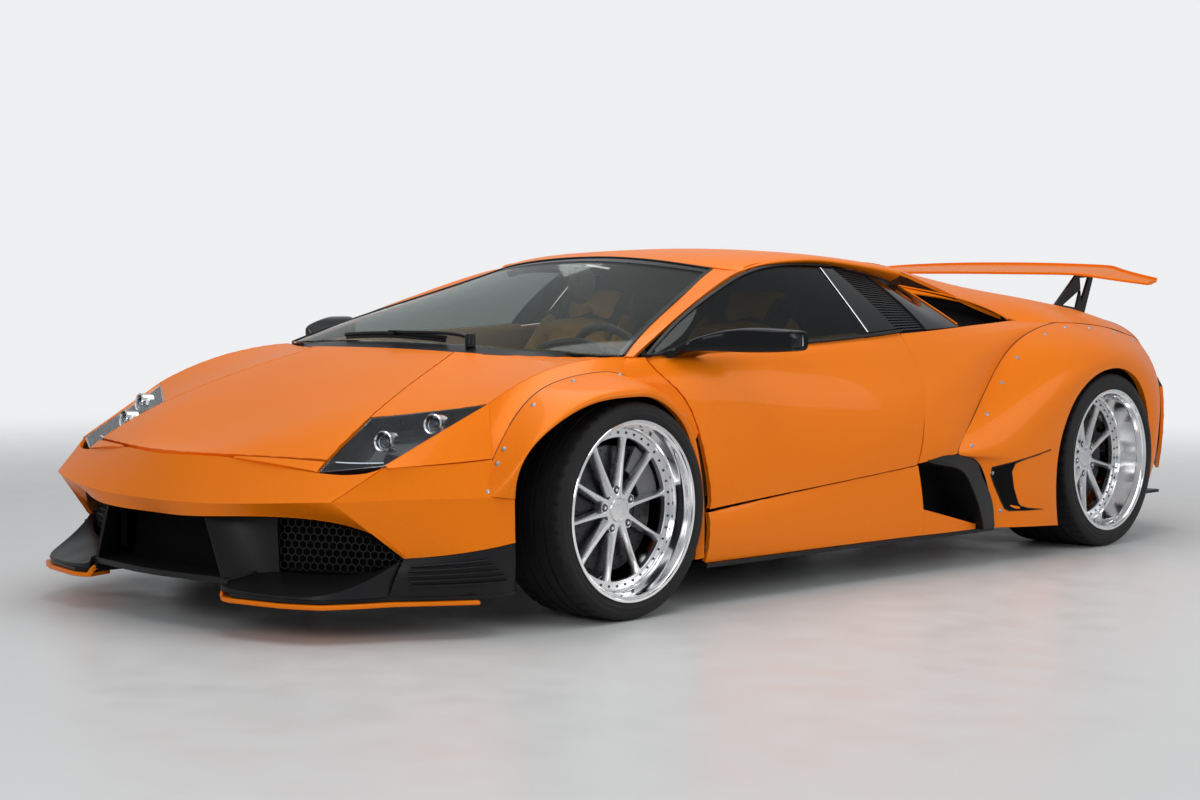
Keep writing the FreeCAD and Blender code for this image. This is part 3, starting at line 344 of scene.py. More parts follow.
def swept(path, section, up=(0, 0, 1), closed=False):
    """A section carried along a path: point = path + a * side + b * up, square to the path.

    The section is a closed outline of (a, b); a row of sections gives one outline per path point.
    """
    path = np.asarray(path, float)
    section = np.asarray(section, float)
    if closed:
        way = unit(np.roll(path, -1, 0) - np.roll(path, 1, 0))
    else:
        way = unit(np.gradient(path, axis=0))
    side = unit(np.cross(way, np.broadcast_to(up, way.shape)))
    rise = np.cross(side, way)
    section = np.broadcast_to(section, (len(path),) + section.shape[-2:])
    points = path[:, None] + side[:, None] * section[..., :1] + rise[:, None] * section[..., 1:]
    columns = section.shape[1]
    if closed:
        return points.reshape(-1, 3), ring_quads(len(path), columns)
    faces = quads(len(path), columns, closed=True)
    last = (len(path) - 1) * columns
    faces.append(list(range(columns))[::-1])
    faces.append([last + k for k in range(columns)])
    return points.reshape(-1, 3), faces


def round_section(radius, steps=8):
    """A circle as a closed outline: (r cos a, r sin a)."""
    angle = turns(steps)
    return np.stack([radius * np.cos(angle), radius * np.sin(angle)], -1)


def flat_section(width, height):
    """A rectangle with its corners cut by a quarter of its height."""
    a, b = width / 2, height / 2
    c = min(a, b) / 2
    return np.array([(-a, -b + c), (-a + c, -b), (a - c, -b), (a, -b + c), (a, b - c), (a - c, b),
                     (-a + c, b), (-a, b - c)])


def along(rows, count=24):
    """Evenly spread points on the smooth curve through table points, in metres."""
    points = place(rows)
    fine = spread(len(points), 24) @ points
    reach = np.concatenate([[0], np.cumsum(np.linalg.norm(np.diff(fine, axis=0), axis=1))])
    wanted = np.linspace(0, reach[-1], count)
    return np.stack([np.interp(wanted, reach, fine[:, k]) for k in range(3)], -1)


def prism(outline, way):
    """A closed outline in metres carried along a vector, with flat ends."""
    outline = np.asarray(outline, float)
    count = len(outline)
    points = np.concatenate([outline, outline + way])
    step = np.arange(count)
    sides = np.stack([step, (step + 1) % count, (step + 1) % count + count, step + count], -1).tolist()
    return points, sides + [list(range(count))[::-1], [count + k for k in range(count)]]


def level_plate(outline, low, high):
    """A level plate from a plan outline of (x, station) and its lower and upper heights."""
    ring = place([(x, station, low) for x, station in outline])
    return prism(ring, (0, 0, (high - low) * MM))


def upright_plate(x, outline, thick):
    """An upright plate across the car from a side outline of (station, z), centred on x."""
    ring = place([(x - thick / 2, station, z) for station, z in outline])
    return prism(ring, (thick * MM, 0, 0))


def face_out(mesh):
    """Turns the faces of a mesh outwards."""
    shape = bmesh.new()
    shape.from_mesh(mesh)
    bmesh.ops.recalc_face_normals(shape, faces=shape.faces)
    shape.to_mesh(mesh)
    shape.free()


def made(name, part, finish, body="root", smooth=30, round_edges=0.0, segments=2, side=1):
    """A mesh object from one part, with its faces turned outwards and its edges rounded.

    The part is mirrored for side -1.
    """
    part = on_side(part, side)
    piece = mesh_object(name, part[0], part[1], finish, body, 0)
    face_out(piece.data)
    if smooth:
        piece.data.shade_smooth()
        piece.data.set_sharp_from_angle(angle=math.radians(smooth))
    if round_edges:
        bevel(piece, round_edges, segments)
    return piece


def bake(piece):
    """Puts the result of a piece's modifiers into its mesh."""
    view = bpy.context.evaluated_depsgraph_get()
    done = bpy.data.meshes.new_from_object(piece.evaluated_get(view), depsgraph=view)
    old = piece.data
    piece.modifiers.clear()
    piece.data = done
    bpy.data.meshes.remove(old)


def depth_on(grid, station, z):
    """x of a body surface at stations and heights: the mean of its four nearest grid points,
    weighted by one over their squared distance."""
    flat = grid.reshape(-1, 3)
    target = np.stack([np.ravel(station) * MM + FRONT_AXLE * MM, np.ravel(z) * MM], -1)
    gap = ((flat[None, :, 1:] - target[:, None]) ** 2).sum(-1)
    near = np.argpartition(gap, 4, axis=1)[:, :4]
    weight = 1 / (np.take_along_axis(gap, near, 1) + 1e-9)
    return ((flat[near, 0] * weight).sum(1) / weight.sum(1)).reshape(np.shape(station)) / MM


# Materials


def material(name, color, rough, metal=0.0, coat=0.0, coat_rough=0.03, shine=0.25, glow=None,
             index=None, slot=None, flecks=None, grain=None):
    """A material with a Principled shader; its plain numbers are set on the shader itself.

    A clear one is given its index of refraction. The slot is not used. Flecks
    and grain are what the two groups below take.
    """
    finish = bpy.data.materials.new(name)
    finish.use_nodes = True
    shader = finish.node_tree.nodes["Principled BSDF"]
    shader.inputs["Base Color"].default_value = (*color, 1)
    shader.inputs["Roughness"].default_value = rough
    shader.inputs["Metallic"].default_value = metal
    shader.inputs["Coat Weight"].default_value = coat
    shader.inputs["Coat Roughness"].default_value = coat_rough
    shader.inputs["Specular IOR Level"].default_value = shine
    if glow:
        shader.inputs["Emission Color"].default_value = (*glow, 1)
        shader.inputs["Emission Strength"].default_value = 1
    if index:
        shader.inputs["Transmission Weight"].default_value = 1.0
        shader.inputs["IOR"].default_value = index
    if flecks:
        speckled(finish, *flecks)
    if grain:
        grained(finish, *grain)
    return finish


def group_of(name, inputs, outputs):
    """An empty shader node group with named sockets, and its input and output nodes."""
    group = bpy.data.node_groups.new(name, "ShaderNodeTree")
    for socket, kind, value in inputs:
        entry = group.interface.new_socket(socket, in_out="INPUT", socket_type=kind)
        if value is not None:
            entry.default_value = value
    for socket, kind in outputs:
        group.interface.new_socket(socket, in_out="OUTPUT", socket_type=kind)
    start = group.nodes.new("NodeGroupInput")
    end = group.nodes.new("NodeGroupOutput")
    return group, start, end


def new_node(tree, kind, **values):
    """A node with its properties and input values set by name."""
    node = tree.nodes.new(kind)
    for key, value in values.items():
        if hasattr(node, key):
            setattr(node, key, value)
        else:
            node.inputs[key].default_value = value
    return node


COLOR, FLOAT = "NodeSocketColor", "NodeSocketFloat"


def speckle_group():
    """Two colours mixed by cells of a size and by soft clouds: flakes in paint, fibres in plastic."""
    group, start, end = group_of(
        "speckle", [("Ground", COLOR, None), ("Fleck", COLOR, None), ("Scale", FLOAT, 900),
                    ("Amount", FLOAT, 0.5), ("Cloud", FLOAT, 0.1)],
        [("Color", COLOR), ("Mask", FLOAT)])
    place_node = new_node(group, "ShaderNodeTexCoord")
    cells = new_node(group, "ShaderNodeTexVoronoi")
    cloud = new_node(group, "ShaderNodeTexNoise", Scale=3.0, Detail=3.0)
    link = group.links.new
    link(place_node.outputs["Object"], cells.inputs["Vector"])
    link(place_node.outputs["Object"], cloud.inputs["Vector"])
    link(start.outputs["Scale"], cells.inputs["Scale"])
    red = new_node(group, "ShaderNodeSeparateColor")
    link(cells.outputs["Color"], red.inputs["Color"])
    part = new_node(group, "ShaderNodeMath", operation="MULTIPLY")
    link(red.outputs["Red"], part.inputs[0])
    link(start.outputs["Amount"], part.inputs[1])
    soft = new_node(group, "ShaderNodeMath", operation="MULTIPLY")
    link(cloud.outputs["Fac"], soft.inputs[0])
    link(start.outputs["Cloud"], soft.inputs[1])
    total = new_node(group, "ShaderNodeMath", operation="ADD", use_clamp=True)
    link(part.outputs[0], total.inputs[0])
    link(soft.outputs[0], total.inputs[1])
    mix = new_node(group, "ShaderNodeMix", data_type="RGBA")
    link(total.outputs[0], mix.inputs["Factor"])
    link(start.outputs["Ground"], mix.inputs[6])
    link(start.outputs["Fleck"], mix.inputs[7])
    link(mix.outputs[2], end.inputs["Color"])
    link(total.outputs[0], end.inputs["Mask"])
    return group


def grain_group():
    """A fine height for moulded or sewn surfaces and the roughness that goes with it."""
    group, start, end = group_of(
        "grain", [("Scale", FLOAT, 400), ("Low", FLOAT, 0.3), ("High", FLOAT, 0.5)],
        [("Height", FLOAT), ("Roughness", FLOAT)])
    place_node = new_node(group, "ShaderNodeTexCoord")
    noise = new_node(group, "ShaderNodeTexNoise", Detail=4.0)
    smear = new_node(group, "ShaderNodeTexNoise", Scale=6.0, Detail=5.0)
    link = group.links.new
    link(place_node.outputs["Object"], noise.inputs["Vector"])
    link(place_node.outputs["Object"], smear.inputs["Vector"])
    link(start.outputs["Scale"], noise.inputs["Scale"])
    spread_node = new_node(group, "ShaderNodeMapRange")
    link(smear.outputs["Fac"], spread_node.inputs["Value"])
    spread_node.inputs["From Min"].default_value = 0.3
    spread_node.inputs["From Max"].default_value = 0.7
    link(start.outputs["Low"], spread_node.inputs["To Min"])
    link(start.outputs["High"], spread_node.inputs["To Max"])
    link(noise.outputs["Fac"], end.inputs["Height"])
    link(spread_node.outputs["Result"], end.inputs["Roughness"])
    return group


SPECKLE = speckle_group()
GRAIN = grain_group()


def shader_of(finish):
    """The Principled shader of a material."""
    return finish.node_tree.nodes["Principled BSDF"]


def speckled(finish, ground, fleck, scale, amount, cloud):
    """Colour from the speckle group."""
    tree = finish.node_tree
    node = new_node(tree, "ShaderNodeGroup", node_tree=SPECKLE)
    for socket, value in (("Ground", (*ground, 1)), ("Fleck", (*fleck, 1)), ("Scale", scale),
                          ("Amount", amount), ("Cloud", cloud)):
        node.inputs[socket].default_value = value
    tree.links.new(node.outputs["Color"], shader_of(finish).inputs["Base Color"])


def grained(finish, scale, low, high, depth):
    """Roughness and a bump from the grain group."""
    tree = finish.node_tree
    node = new_node(tree, "ShaderNodeGroup", node_tree=GRAIN)
    for socket, value in (("Scale", scale), ("Low", low), ("High", high)):
        node.inputs[socket].default_value = value
    tree.links.new(node.outputs["Roughness"], shader_of(finish).inputs["Roughness"])
    if depth:
        bump = new_node(tree, "ShaderNodeBump", Strength=depth, Distance=0.001)
        tree.links.new(node.outputs["Height"], bump.inputs["Height"])
        tree.links.new(bump.outputs["Normal"], shader_of(finish).inputs["Normal"])


PAINT = material("orange_pearl_paint", (0.9, 0.165, 0.001), 0.4, metal=0.15, coat=0.15, coat_rough=0.02,
                 shine=0.1, slot="body_paint",
                 flecks=((0.88, 0.155, 0.001), (1.0, 0.33, 0.005), 1300, 0.5, 0.1))
BLACK_GLOSS = material("gloss_black", (0.003, 0.003, 0.004), 0.12, coat=0.2, shine=0.15, slot="gloss_black",
                       grain=(300, 0.05, 0.14, 0.0))
BLACK_SATIN = material("satin_black", (0.008, 0.008, 0.009), 0.42, shine=0.2, slot="satin_black",
                       flecks=((0.006, 0.006, 0.007), (0.016, 0.016, 0.017), 700, 0.5, 0.3),
                       grain=(900, 0.3, 0.44, 0.06))
BLACK_MATT = material("matt_black", (0.004, 0.004, 0.004), 0.8, shine=0.08, slot="satin_black",
                      grain=(500, 0.7, 0.9, 0.2))
DARK_GRILLE = material("grille_black", (0.012, 0.012, 0.013), 0.45, slot="black_mesh",
                       grain=(900, 0.35, 0.5, 0.1))
RUBBER = material("tyre_rubber", (0.02, 0.02, 0.021), 0.65, slot="tyre_rubber",
                  flecks=((0.007, 0.007, 0.008), (0.018, 0.017, 0.016), 500, 0.4, 0.4),
                  grain=(700, 0.5, 0.7, 0.2))
POLISHED = material("polished_alloy", (0.86, 0.86, 0.87), 0.12, metal=1.0, grain=(60, 0.05, 0.13, 0.0))
BRUSHED = material("machined_alloy", (0.72, 0.72, 0.73), 0.3, metal=1.0, grain=(350, 0.2, 0.36, 0.05))
CHROME = material("chrome", (0.85, 0.86, 0.87), 0.07, metal=1.0, slot="polished_rim",
                  grain=(200, 0.03, 0.09, 0.0))
STEEL = material("plain_steel", (0.42, 0.42, 0.43), 0.38, metal=1.0, slot="brake_metal",
                 grain=(400, 0.28, 0.5, 0.15))
CAST = material("cast_alloy", (0.2, 0.2, 0.21), 0.55, metal=0.7, grain=(250, 0.45, 0.65, 0.4))
DISC = material("brake_disc", (0.045, 0.045, 0.048), 0.45, metal=0.8, grain=(120, 0.3, 0.5, 0.1))

# Lines that neighbouring panels share

BONNET_SIDE = [(548, -822, 497), (498, -618, 607), (442, -440, 679), (385, -275, 735), (328, -128, 781)]
BONNET_MIDDLE = [(270, -925, 500), (258, -728, 582), (235, -510, 662), (205, -310, 732), (165, -128, 784)]
BONNET_CENTRE = [(0, -975, 500), (0, -800, 549), (0, -560, 646), (0, -330, 727), (0, -126, 785)]
LAMP_INNER = [(557, -863, 468), (498, -618, 607)]
LAMP_OUTER = [(726, -767, 489), (787, -427, 651)]
LAMP_EDGE = [(728, -765, 491), (757, -597, 572), (789, -426, 653)]
FENDER_SEAM = [(740, -763, 484), (800, -621, 491), (860, -478, 502)]
CREST = [(787, -427, 651), (776, -235, 724), (772, -45, 762), (803, 136, 773)]
FENDER_ROOT = [(860, -478, 502), (846, -372, 620), (832, -221, 702), (822, -20, 731), (838, 120, 713)]
FENDER_CORNER = [(805, 140, 770), (838, 120, 713), (868, 195, 675), (895, 262, 622), (916, 338, 515)]
DOOR_FRONT = [(835, 196, 772), (884, 246, 700), (912, 322, 610), (935, 374, 430), (941, 380, 300)]
CORNER_BACK = [(835, 196, 772), (868, 220, 726), (891, 261, 687), (907, 307, 635), (922, 347, 544)]
BELT = [(835, 196, 772), (852, 500, 784), (862, 860, 796), (870, 1180, 810)]
WINDSCREEN_SIDE = [(796, 140, 776), (708, 345, 858), (615, 590, 940), (553, 760, 1000), (498, 908, 1048)]
PILLAR_OUT = [(818, 158, 776), (716, 478, 893), (666, 658, 957), (616, 846, 1017), (588, 985, 1046)]
REAR_ROOT = [(1003, 1655, 408), (985, 1760, 512), (955, 1895, 617), (915, 2080, 740), (885, 2290, 820),
             (862, 2520, 857), (856, 2720, 852), (850, 2930, 835), (838, 3110, 806), (820, 3260, 765)]


def door_rear(z, x):
    """The door's rear edge at a height: on the circle about the hinge."""
    up = z - HINGE_HEIGHT
    return (x, HINGE_STATION + math.sqrt(DOOR_REACH ** 2 - up ** 2), z)


SIDES = (("left", 1), ("right", -1))
MOVING = 0.003
FIXED = 0.0012

# Bonnet and front fenders

bonnet_rows = [[side_point, middle, centre] for side_point, middle, centre
               in zip(BONNET_SIDE, BONNET_MIDDLE, BONNET_CENTRE)]
bonnet = skin("bonnet_skin", across(bonnet_rows), PAINT, "bonnet", gaps=(MOVING,) * 4, fine=(14, 14))
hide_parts("bonnet")

valley = [((a[0] + b[0]) / 2, (a[1] + b[1]) / 2, (a[2] + b[2]) / 2 - 6)
          for a, b in zip(BONNET_SIDE[1:], CREST)]
crest_fine = spread(len(CREST), 24) @ np.array(CREST, float)
crest_row = [tuple(crest_fine[k]) for k in (0, 18, 36, 54, 72)]
for end, side in SIDES:
    for name, rows, fine, gaps, thick in (
            ("fender_top", [BONNET_SIDE[1:], valley, CREST], (14, 14), (MOVING, 0, FIXED, SHUT), 0.012),
            ("fender_side", [crest_row, FENDER_ROOT], (10, 14), (0, FIXED, 0, SHUT), 0.012),
            ("lamp_side", [LAMP_EDGE, FENDER_SEAM], (8, 12), (FIXED, FIXED, FIXED, 0), 0.012),
            ("fender_corner", [FENDER_CORNER, CORNER_BACK], (6, 12), (0.0005, MOVING, 0, FIXED), 0.009)):
        piece = skin(name + "_" + end, rows, PAINT, fine=fine, gaps=gaps, side=side, thick=thick)
        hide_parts("front_fender_" + end)

# Doors

door_rows = [
    BELT + [door_rear(830, 873)],
    [DOOR_FRONT[1], (905, 500, 732), (915, 860, 740), (925, 1180, 748), door_rear(752, 928)],
    [DOOR_FRONT[2], (932, 560, 612), (950, 900, 618), (968, 1200, 624), door_rear(630, 978)],
    [DOOR_FRONT[3], (948, 600, 440), (966, 920, 455), (984, 1200, 470), door_rear(485, 994)],
    [DOOR_FRONT[4], (950, 640, 320), (966, 940, 342), (980, 1200, 362), door_rear(380, 988)],
]
for end, side in SIDES:
    door = skin("door_skin_" + end, door_rows, PAINT, "door_" + end, gaps=(0.0002, MOVING, MOVING, MOVING),
                thick=0.014, fine=(12, 12), side=side)
    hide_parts("door_" + end)

# Roof with its pillars

ROOF_ROWS = [
    [(588, 987, 1047), (500, 914, 1052), (262, 883, 1079), (0, 893, 1089)],
    [(586, 1090, 1060), (520, 1080, 1086), (270, 1060, 1104), (0, 1060, 1109)],
    [(584, 1250, 1069), (528, 1250, 1099), (275, 1250, 1116), (0, 1250, 1122)],
    [(582, 1420, 1068), (530, 1420, 1100), (275, 1420, 1118), (0, 1420, 1125)],
    [(578, 1650, 1044), (540, 1650, 1085), (280, 1650, 1106), (0, 1650, 1114)],
    [(570, 1850, 1008), (552, 1866, 1063), (285, 1866, 1084), (0, 1866, 1092)],
]
roof = skin("roof_skin", across(ROOF_ROWS), PAINT, fine=(10, 10))
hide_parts("roof")
for end, side in SIDES:
    pillar = skin("pillar_" + end, [WINDSCREEN_SIDE, PILLAR_OUT], PAINT, fine=(4, 12), side=side,
                  gaps=(SHUT, SHUT, 0, 0))
    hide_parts("roof")

# Vent panels behind the doors, quarters and deck

VENT_ROWS = [
    [door_rear(1062, 588), (582, 1600, 1046), (574, 1740, 1024), (566, 1850, 1000), (650, 2112, 956),
     (756, 2362, 866)],
    [door_rear(950, 728), (730, 1600, 945), (728, 1740, 935), (715, 1860, 922), (722, 2110, 905),
     (762, 2374, 865)],
    [door_rear(834, 868), (862, 1600, 839), (857, 1720, 843), (850, 1850, 848), (815, 2110, 857),
     (768, 2384, 866)],
]
QUARTER_ROWS = [
    [door_rear(830, 874), (862, 1760, 842), (824, 2040, 854), (768, 2380, 866)],
    [door_rear(785, 905), (898, 1790, 802), (876, 2120, 828), REAR_ROOT[5]],
    [door_rear(725, 938), (928, 1750, 757), (912, 2000, 785), REAR_ROOT[4]],
    [door_rear(648, 966), (965, 1690, 680), (948, 1880, 712), REAR_ROOT[3]],
    [door_rear(560, 986), (987, 1640, 578), (978, 1780, 598), REAR_ROOT[2]],
    [door_rear(465, 996), (1000, 1570, 482), (998, 1670, 498), REAR_ROOT[1]],
    [door_rear(385, 989), (1000, 1520, 395), (1002, 1590, 402), REAR_ROOT[0]],
]
DECK_ROWS = [
    [(424, 1872, 1082), (490, 1870, 1075), (552, 1869, 1062)],
    [(420, 2120, 1050), (545, 2118, 1018), (655, 2114, 966)],
    [(416, 2400, 1010), (610, 2385, 960), (762, 2372, 870)],
    [(412, 2560, 990), (640, 2540, 945), (861, 2520, 859)],
    [(410, 2740, 962), (645, 2730, 935), (855, 2720, 854)],
    [(406, 2950, 928), (640, 2940, 915), (849, 2930, 837)],
    [(402, 3120, 905), (630, 3115, 893), (837, 3110, 808)],
    [(400, 3445, 872), (640, 3375, 842), (820, 3262, 767)],
]
LID_REAR = 3060
for end, side in SIDES:
    quarter = skin("quarter_" + end, QUARTER_ROWS, PAINT, creases=(1,), gaps=(SHUT, FIXED, MOVING, 0.0006),
                   fine=(8, 12), side=side)
    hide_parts("rear_quarters")
    deck = skin("deck_" + end, DECK_ROWS, PAINT, gaps=(SHUT, SHUT, MOVING, FIXED), fine=(8, 10), side=side)
    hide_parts("rear_deck")
deck_rear = skin("deck_rear", across([
    [(405.6, LID_REAR + 3, 910), (200, LID_REAR + 3, 921), (0, LID_REAR + 3, 925)],
    [(402.6, 3445, 872), (200, 3470, 880), (0, 3480, 883)],
]), PAINT, fine=(12, 8))
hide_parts("rear_deck")
LID_ROWS = [
    [(423, 1869, 1082), (220, 1869, 1089), (0, 1869, 1092)],
    [(419, 2120, 1050), (215, 2120, 1060), (0, 2120, 1064)],
    [(415, 2400, 1010), (210, 2400, 1022), (0, 2400, 1026)],
    [(409, 2740, 962), (205, 2740, 974), (0, 2740, 978)],
    [(402, LID_REAR, 911), (200, LID_REAR, 921), (0, LID_REAR, 925)],
]
lid = skin("engine_lid_skin", across(LID_ROWS), PAINT, "engine_lid", gaps=(MOVING,) * 4, fine=(10, 8))
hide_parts("engine_lid")

# Overfenders. Columns: angle, gap beyond the tyre, x of the edge, then x, station and z of the root

FRONT_ARCH = [
    (172, 136, 930, 866, -535, 400), (160, 153, 950, 860, -478, 500), (147, 126, 970, 846, -372, 620),
    (124, 62, 985, 832, -221, 702), (97, 16, 985, 822, -20, 731), (75, 14, 976, 838, 120, 713),
    (50, 17, 955, 895, 262, 622), (28, 20, 932, 916, 338, 515), (2, 22, 920, 930, 366, 345),
    (-28, 60, 918, 934, 366, 150)]
REAR_ARCH = [
    (-149, 101, 1030, 1000, 1905, 128), (-164, 88, 1040, 1002, 1866, 250),
    (-178, 85, 1048, 1003, 1775, 378), (172, 82, 1052, 1003, 1660, 410),
    (163, 78, 1055, 985, 1760, 512), (150, 69, 1058, 955, 1895, 617), (136, 57, 1060, 915, 2080, 740),
    (118, 38, 1060, 885, 2290, 820), (98, 22, 1056, 862, 2520, 857), (78, 19, 1048, 856, 2720, 852),
    (58, 24, 1036, 850, 2930, 835), (38, 25, 1022, 838, 3110, 806), (15, 25, 1005, 822, 3260, 762),
    (-8, 25, 992, 885, 3262, 600), (-32, 40, 978, 915, 3240, 420)]
LIP_RETURN = 26


def flare_rows(table, axle_station, radius):
    """Root, shoulder and edge rows of an overfender, then its lip turned in towards the wheel."""
    root, shoulder, edge, lip = [], [], [], []
    for angle, gap, edge_x, root_x, station, z in table:
        turn = math.radians(angle)
        reach = radius + gap
        rim = (edge_x, axle_station + reach * math.cos(turn), radius + reach * math.sin(turn))
        root.append((root_x, station, z))
        shoulder.append((root_x + 0.82 * (edge_x - root_x) + 6, station + 0.5 * (rim[1] - station),
                         z + 0.5 * (rim[2] - z)))
        edge.append(rim)
        lip.append((edge_x - LIP_RETURN, rim[1] + 4 * math.cos(turn), rim[2] + 4 * math.sin(turn)))
    return [root, shoulder, edge, lip]


FRONT_FLARE = flare_rows(FRONT_ARCH, 0, FRONT_RADIUS)
REAR_FLARE = flare_rows(REAR_ARCH, WHEELBASE, REAR_RADIUS)
for end, side in SIDES:
    for name, rows in (("front_flare", FRONT_FLARE), ("rear_flare", REAR_FLARE)):
        flare = skin(name + "_" + end, rows, PAINT, creases=(2,), thick=0.006, fine=(10, 12), side=side,
                     gaps=(FIXED, 0, SHUT, SHUT))
        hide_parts(name + "s")

# Nose, bumpers and sills

NOSE_TOP = [(728, -768, 485), (557, -866, 465), (270, -934, 493), (0, -983, 493)]
NOSE_CREASE = [(664, -905, 392), (520, -972, 384), (268, -1034, 370), (0, -1050, 366)]
NOSE_LOW = [(762, -725, 232), (560, -872, 334), (250, -1022, 330), (0, -1014, 322)]
nose = skin("nose_skin", across([NOSE_TOP, NOSE_CREASE, NOSE_LOW]), PAINT, creases=(1,), fine=(10, 12),
            gaps=(FIXED, FIXED, 0.0003, 0.0003))
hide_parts("front_bumper")
NOSE_SIDE = [
    [(731, -765, 484), (800, -622, 489), (860, -480, 500)],
    [(666, -903, 391), (800, -690, 396), (930, -458, 394)],
    [(764, -723, 231), (865, -590, 245), (930, -455, 268)],
]
SILL_ROWS = [
    [(943, 372, 292), (950, 700, 320), (968, 1100, 352), (988, 1436, 379)],
    [(948, 372, 215), (958, 700, 225), (972, 1100, 235), (994, 1460, 245)],
    [(930, 372, 134.6), (944, 700, 134.6), (962, 1100, 134.6), (985, 1480, 134.6)],
]
for end, side in SIDES:
    cheek = skin("nose_side_" + end, NOSE_SIDE, PAINT, creases=(1,), fine=(10, 10), side=side,
                 gaps=(FIXED, FIXED, 0.0003, FIXED))
    corner = skin("nose_corner_" + end, [
        [(549, -827, 494), (410, -885, 499), (275, -928, 499)],
        [(556, -863, 467), (412, -908, 484), (273, -935, 493)],
    ], PAINT, fine=(5, 10), side=side, gaps=(MOVING, 0, FIXED, 0), thick=0.008)
    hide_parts("front_bumper")
    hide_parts("front_bumper")
    sill = skin("sill_" + end, SILL_ROWS, PAINT, gaps=(0.0006, SHUT, SHUT, 0), fine=(8, 10), side=side)
    tail_end = skin("sill_tail_" + end, [
        [(994, 1462, 226), (1000, 1640, 185), (1003, 1776, 152)],
        [(985, 1482, 134.6), (998, 1640, 134.6), (1003, 1776, 134.6)],
    ], PAINT, gaps=(0, SHUT, 0, 0), fine=(5, 8), side=side, thick=0.008)
    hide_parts("sills")
    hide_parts("sills")
TAIL_ROWS = [
    [(926, 3262, 594), (701, 3501, 611), (440, 3561, 617), (0, 3581, 621)],
    [(940, 3250, 440), (720, 3530, 460), (450, 3590, 465), (0, 3604, 468)],
    [(930, 3235, 260), (700, 3490, 330), (440, 3560, 345), (0, 3572, 350)],
]
tail = skin("tail_skin", across(TAIL_ROWS), PAINT, fine=(10, 10))
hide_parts("rear_bumper")

# Headlamps: a clear lens over a dark tray with two projectors, a light slit and a reflector

LENS_GLASS = material("lamp_glass", (0.9, 0.93, 0.95), 0.0, coat=0.2, index=1.06, slot="side_glass",
                      grain=(40, 0.0, 0.02, 0.0))
LAMP_DARK = material("lamp_housing_black", (0.01, 0.011, 0.014), 0.28, coat=0.5, slot="lamp_housing",
                     flecks=((0.006, 0.007, 0.01), (0.02, 0.022, 0.028), 400, 0.3, 0.5),
                     grain=(250, 0.18, 0.34, 0.0))
LAMP_WHITE = material("light_guide", (0.75, 0.77, 0.8), 0.25, glow=(0.12, 0.13, 0.14), slot="lamp_housing",
                      grain=(300, 0.15, 0.35, 0.0))
BALL_GLASS = material("projector_glass", (0.02, 0.025, 0.04), 0.03, coat=1.0, slot="lamp_housing",
                      grain=(80, 0.01, 0.05, 0.0))

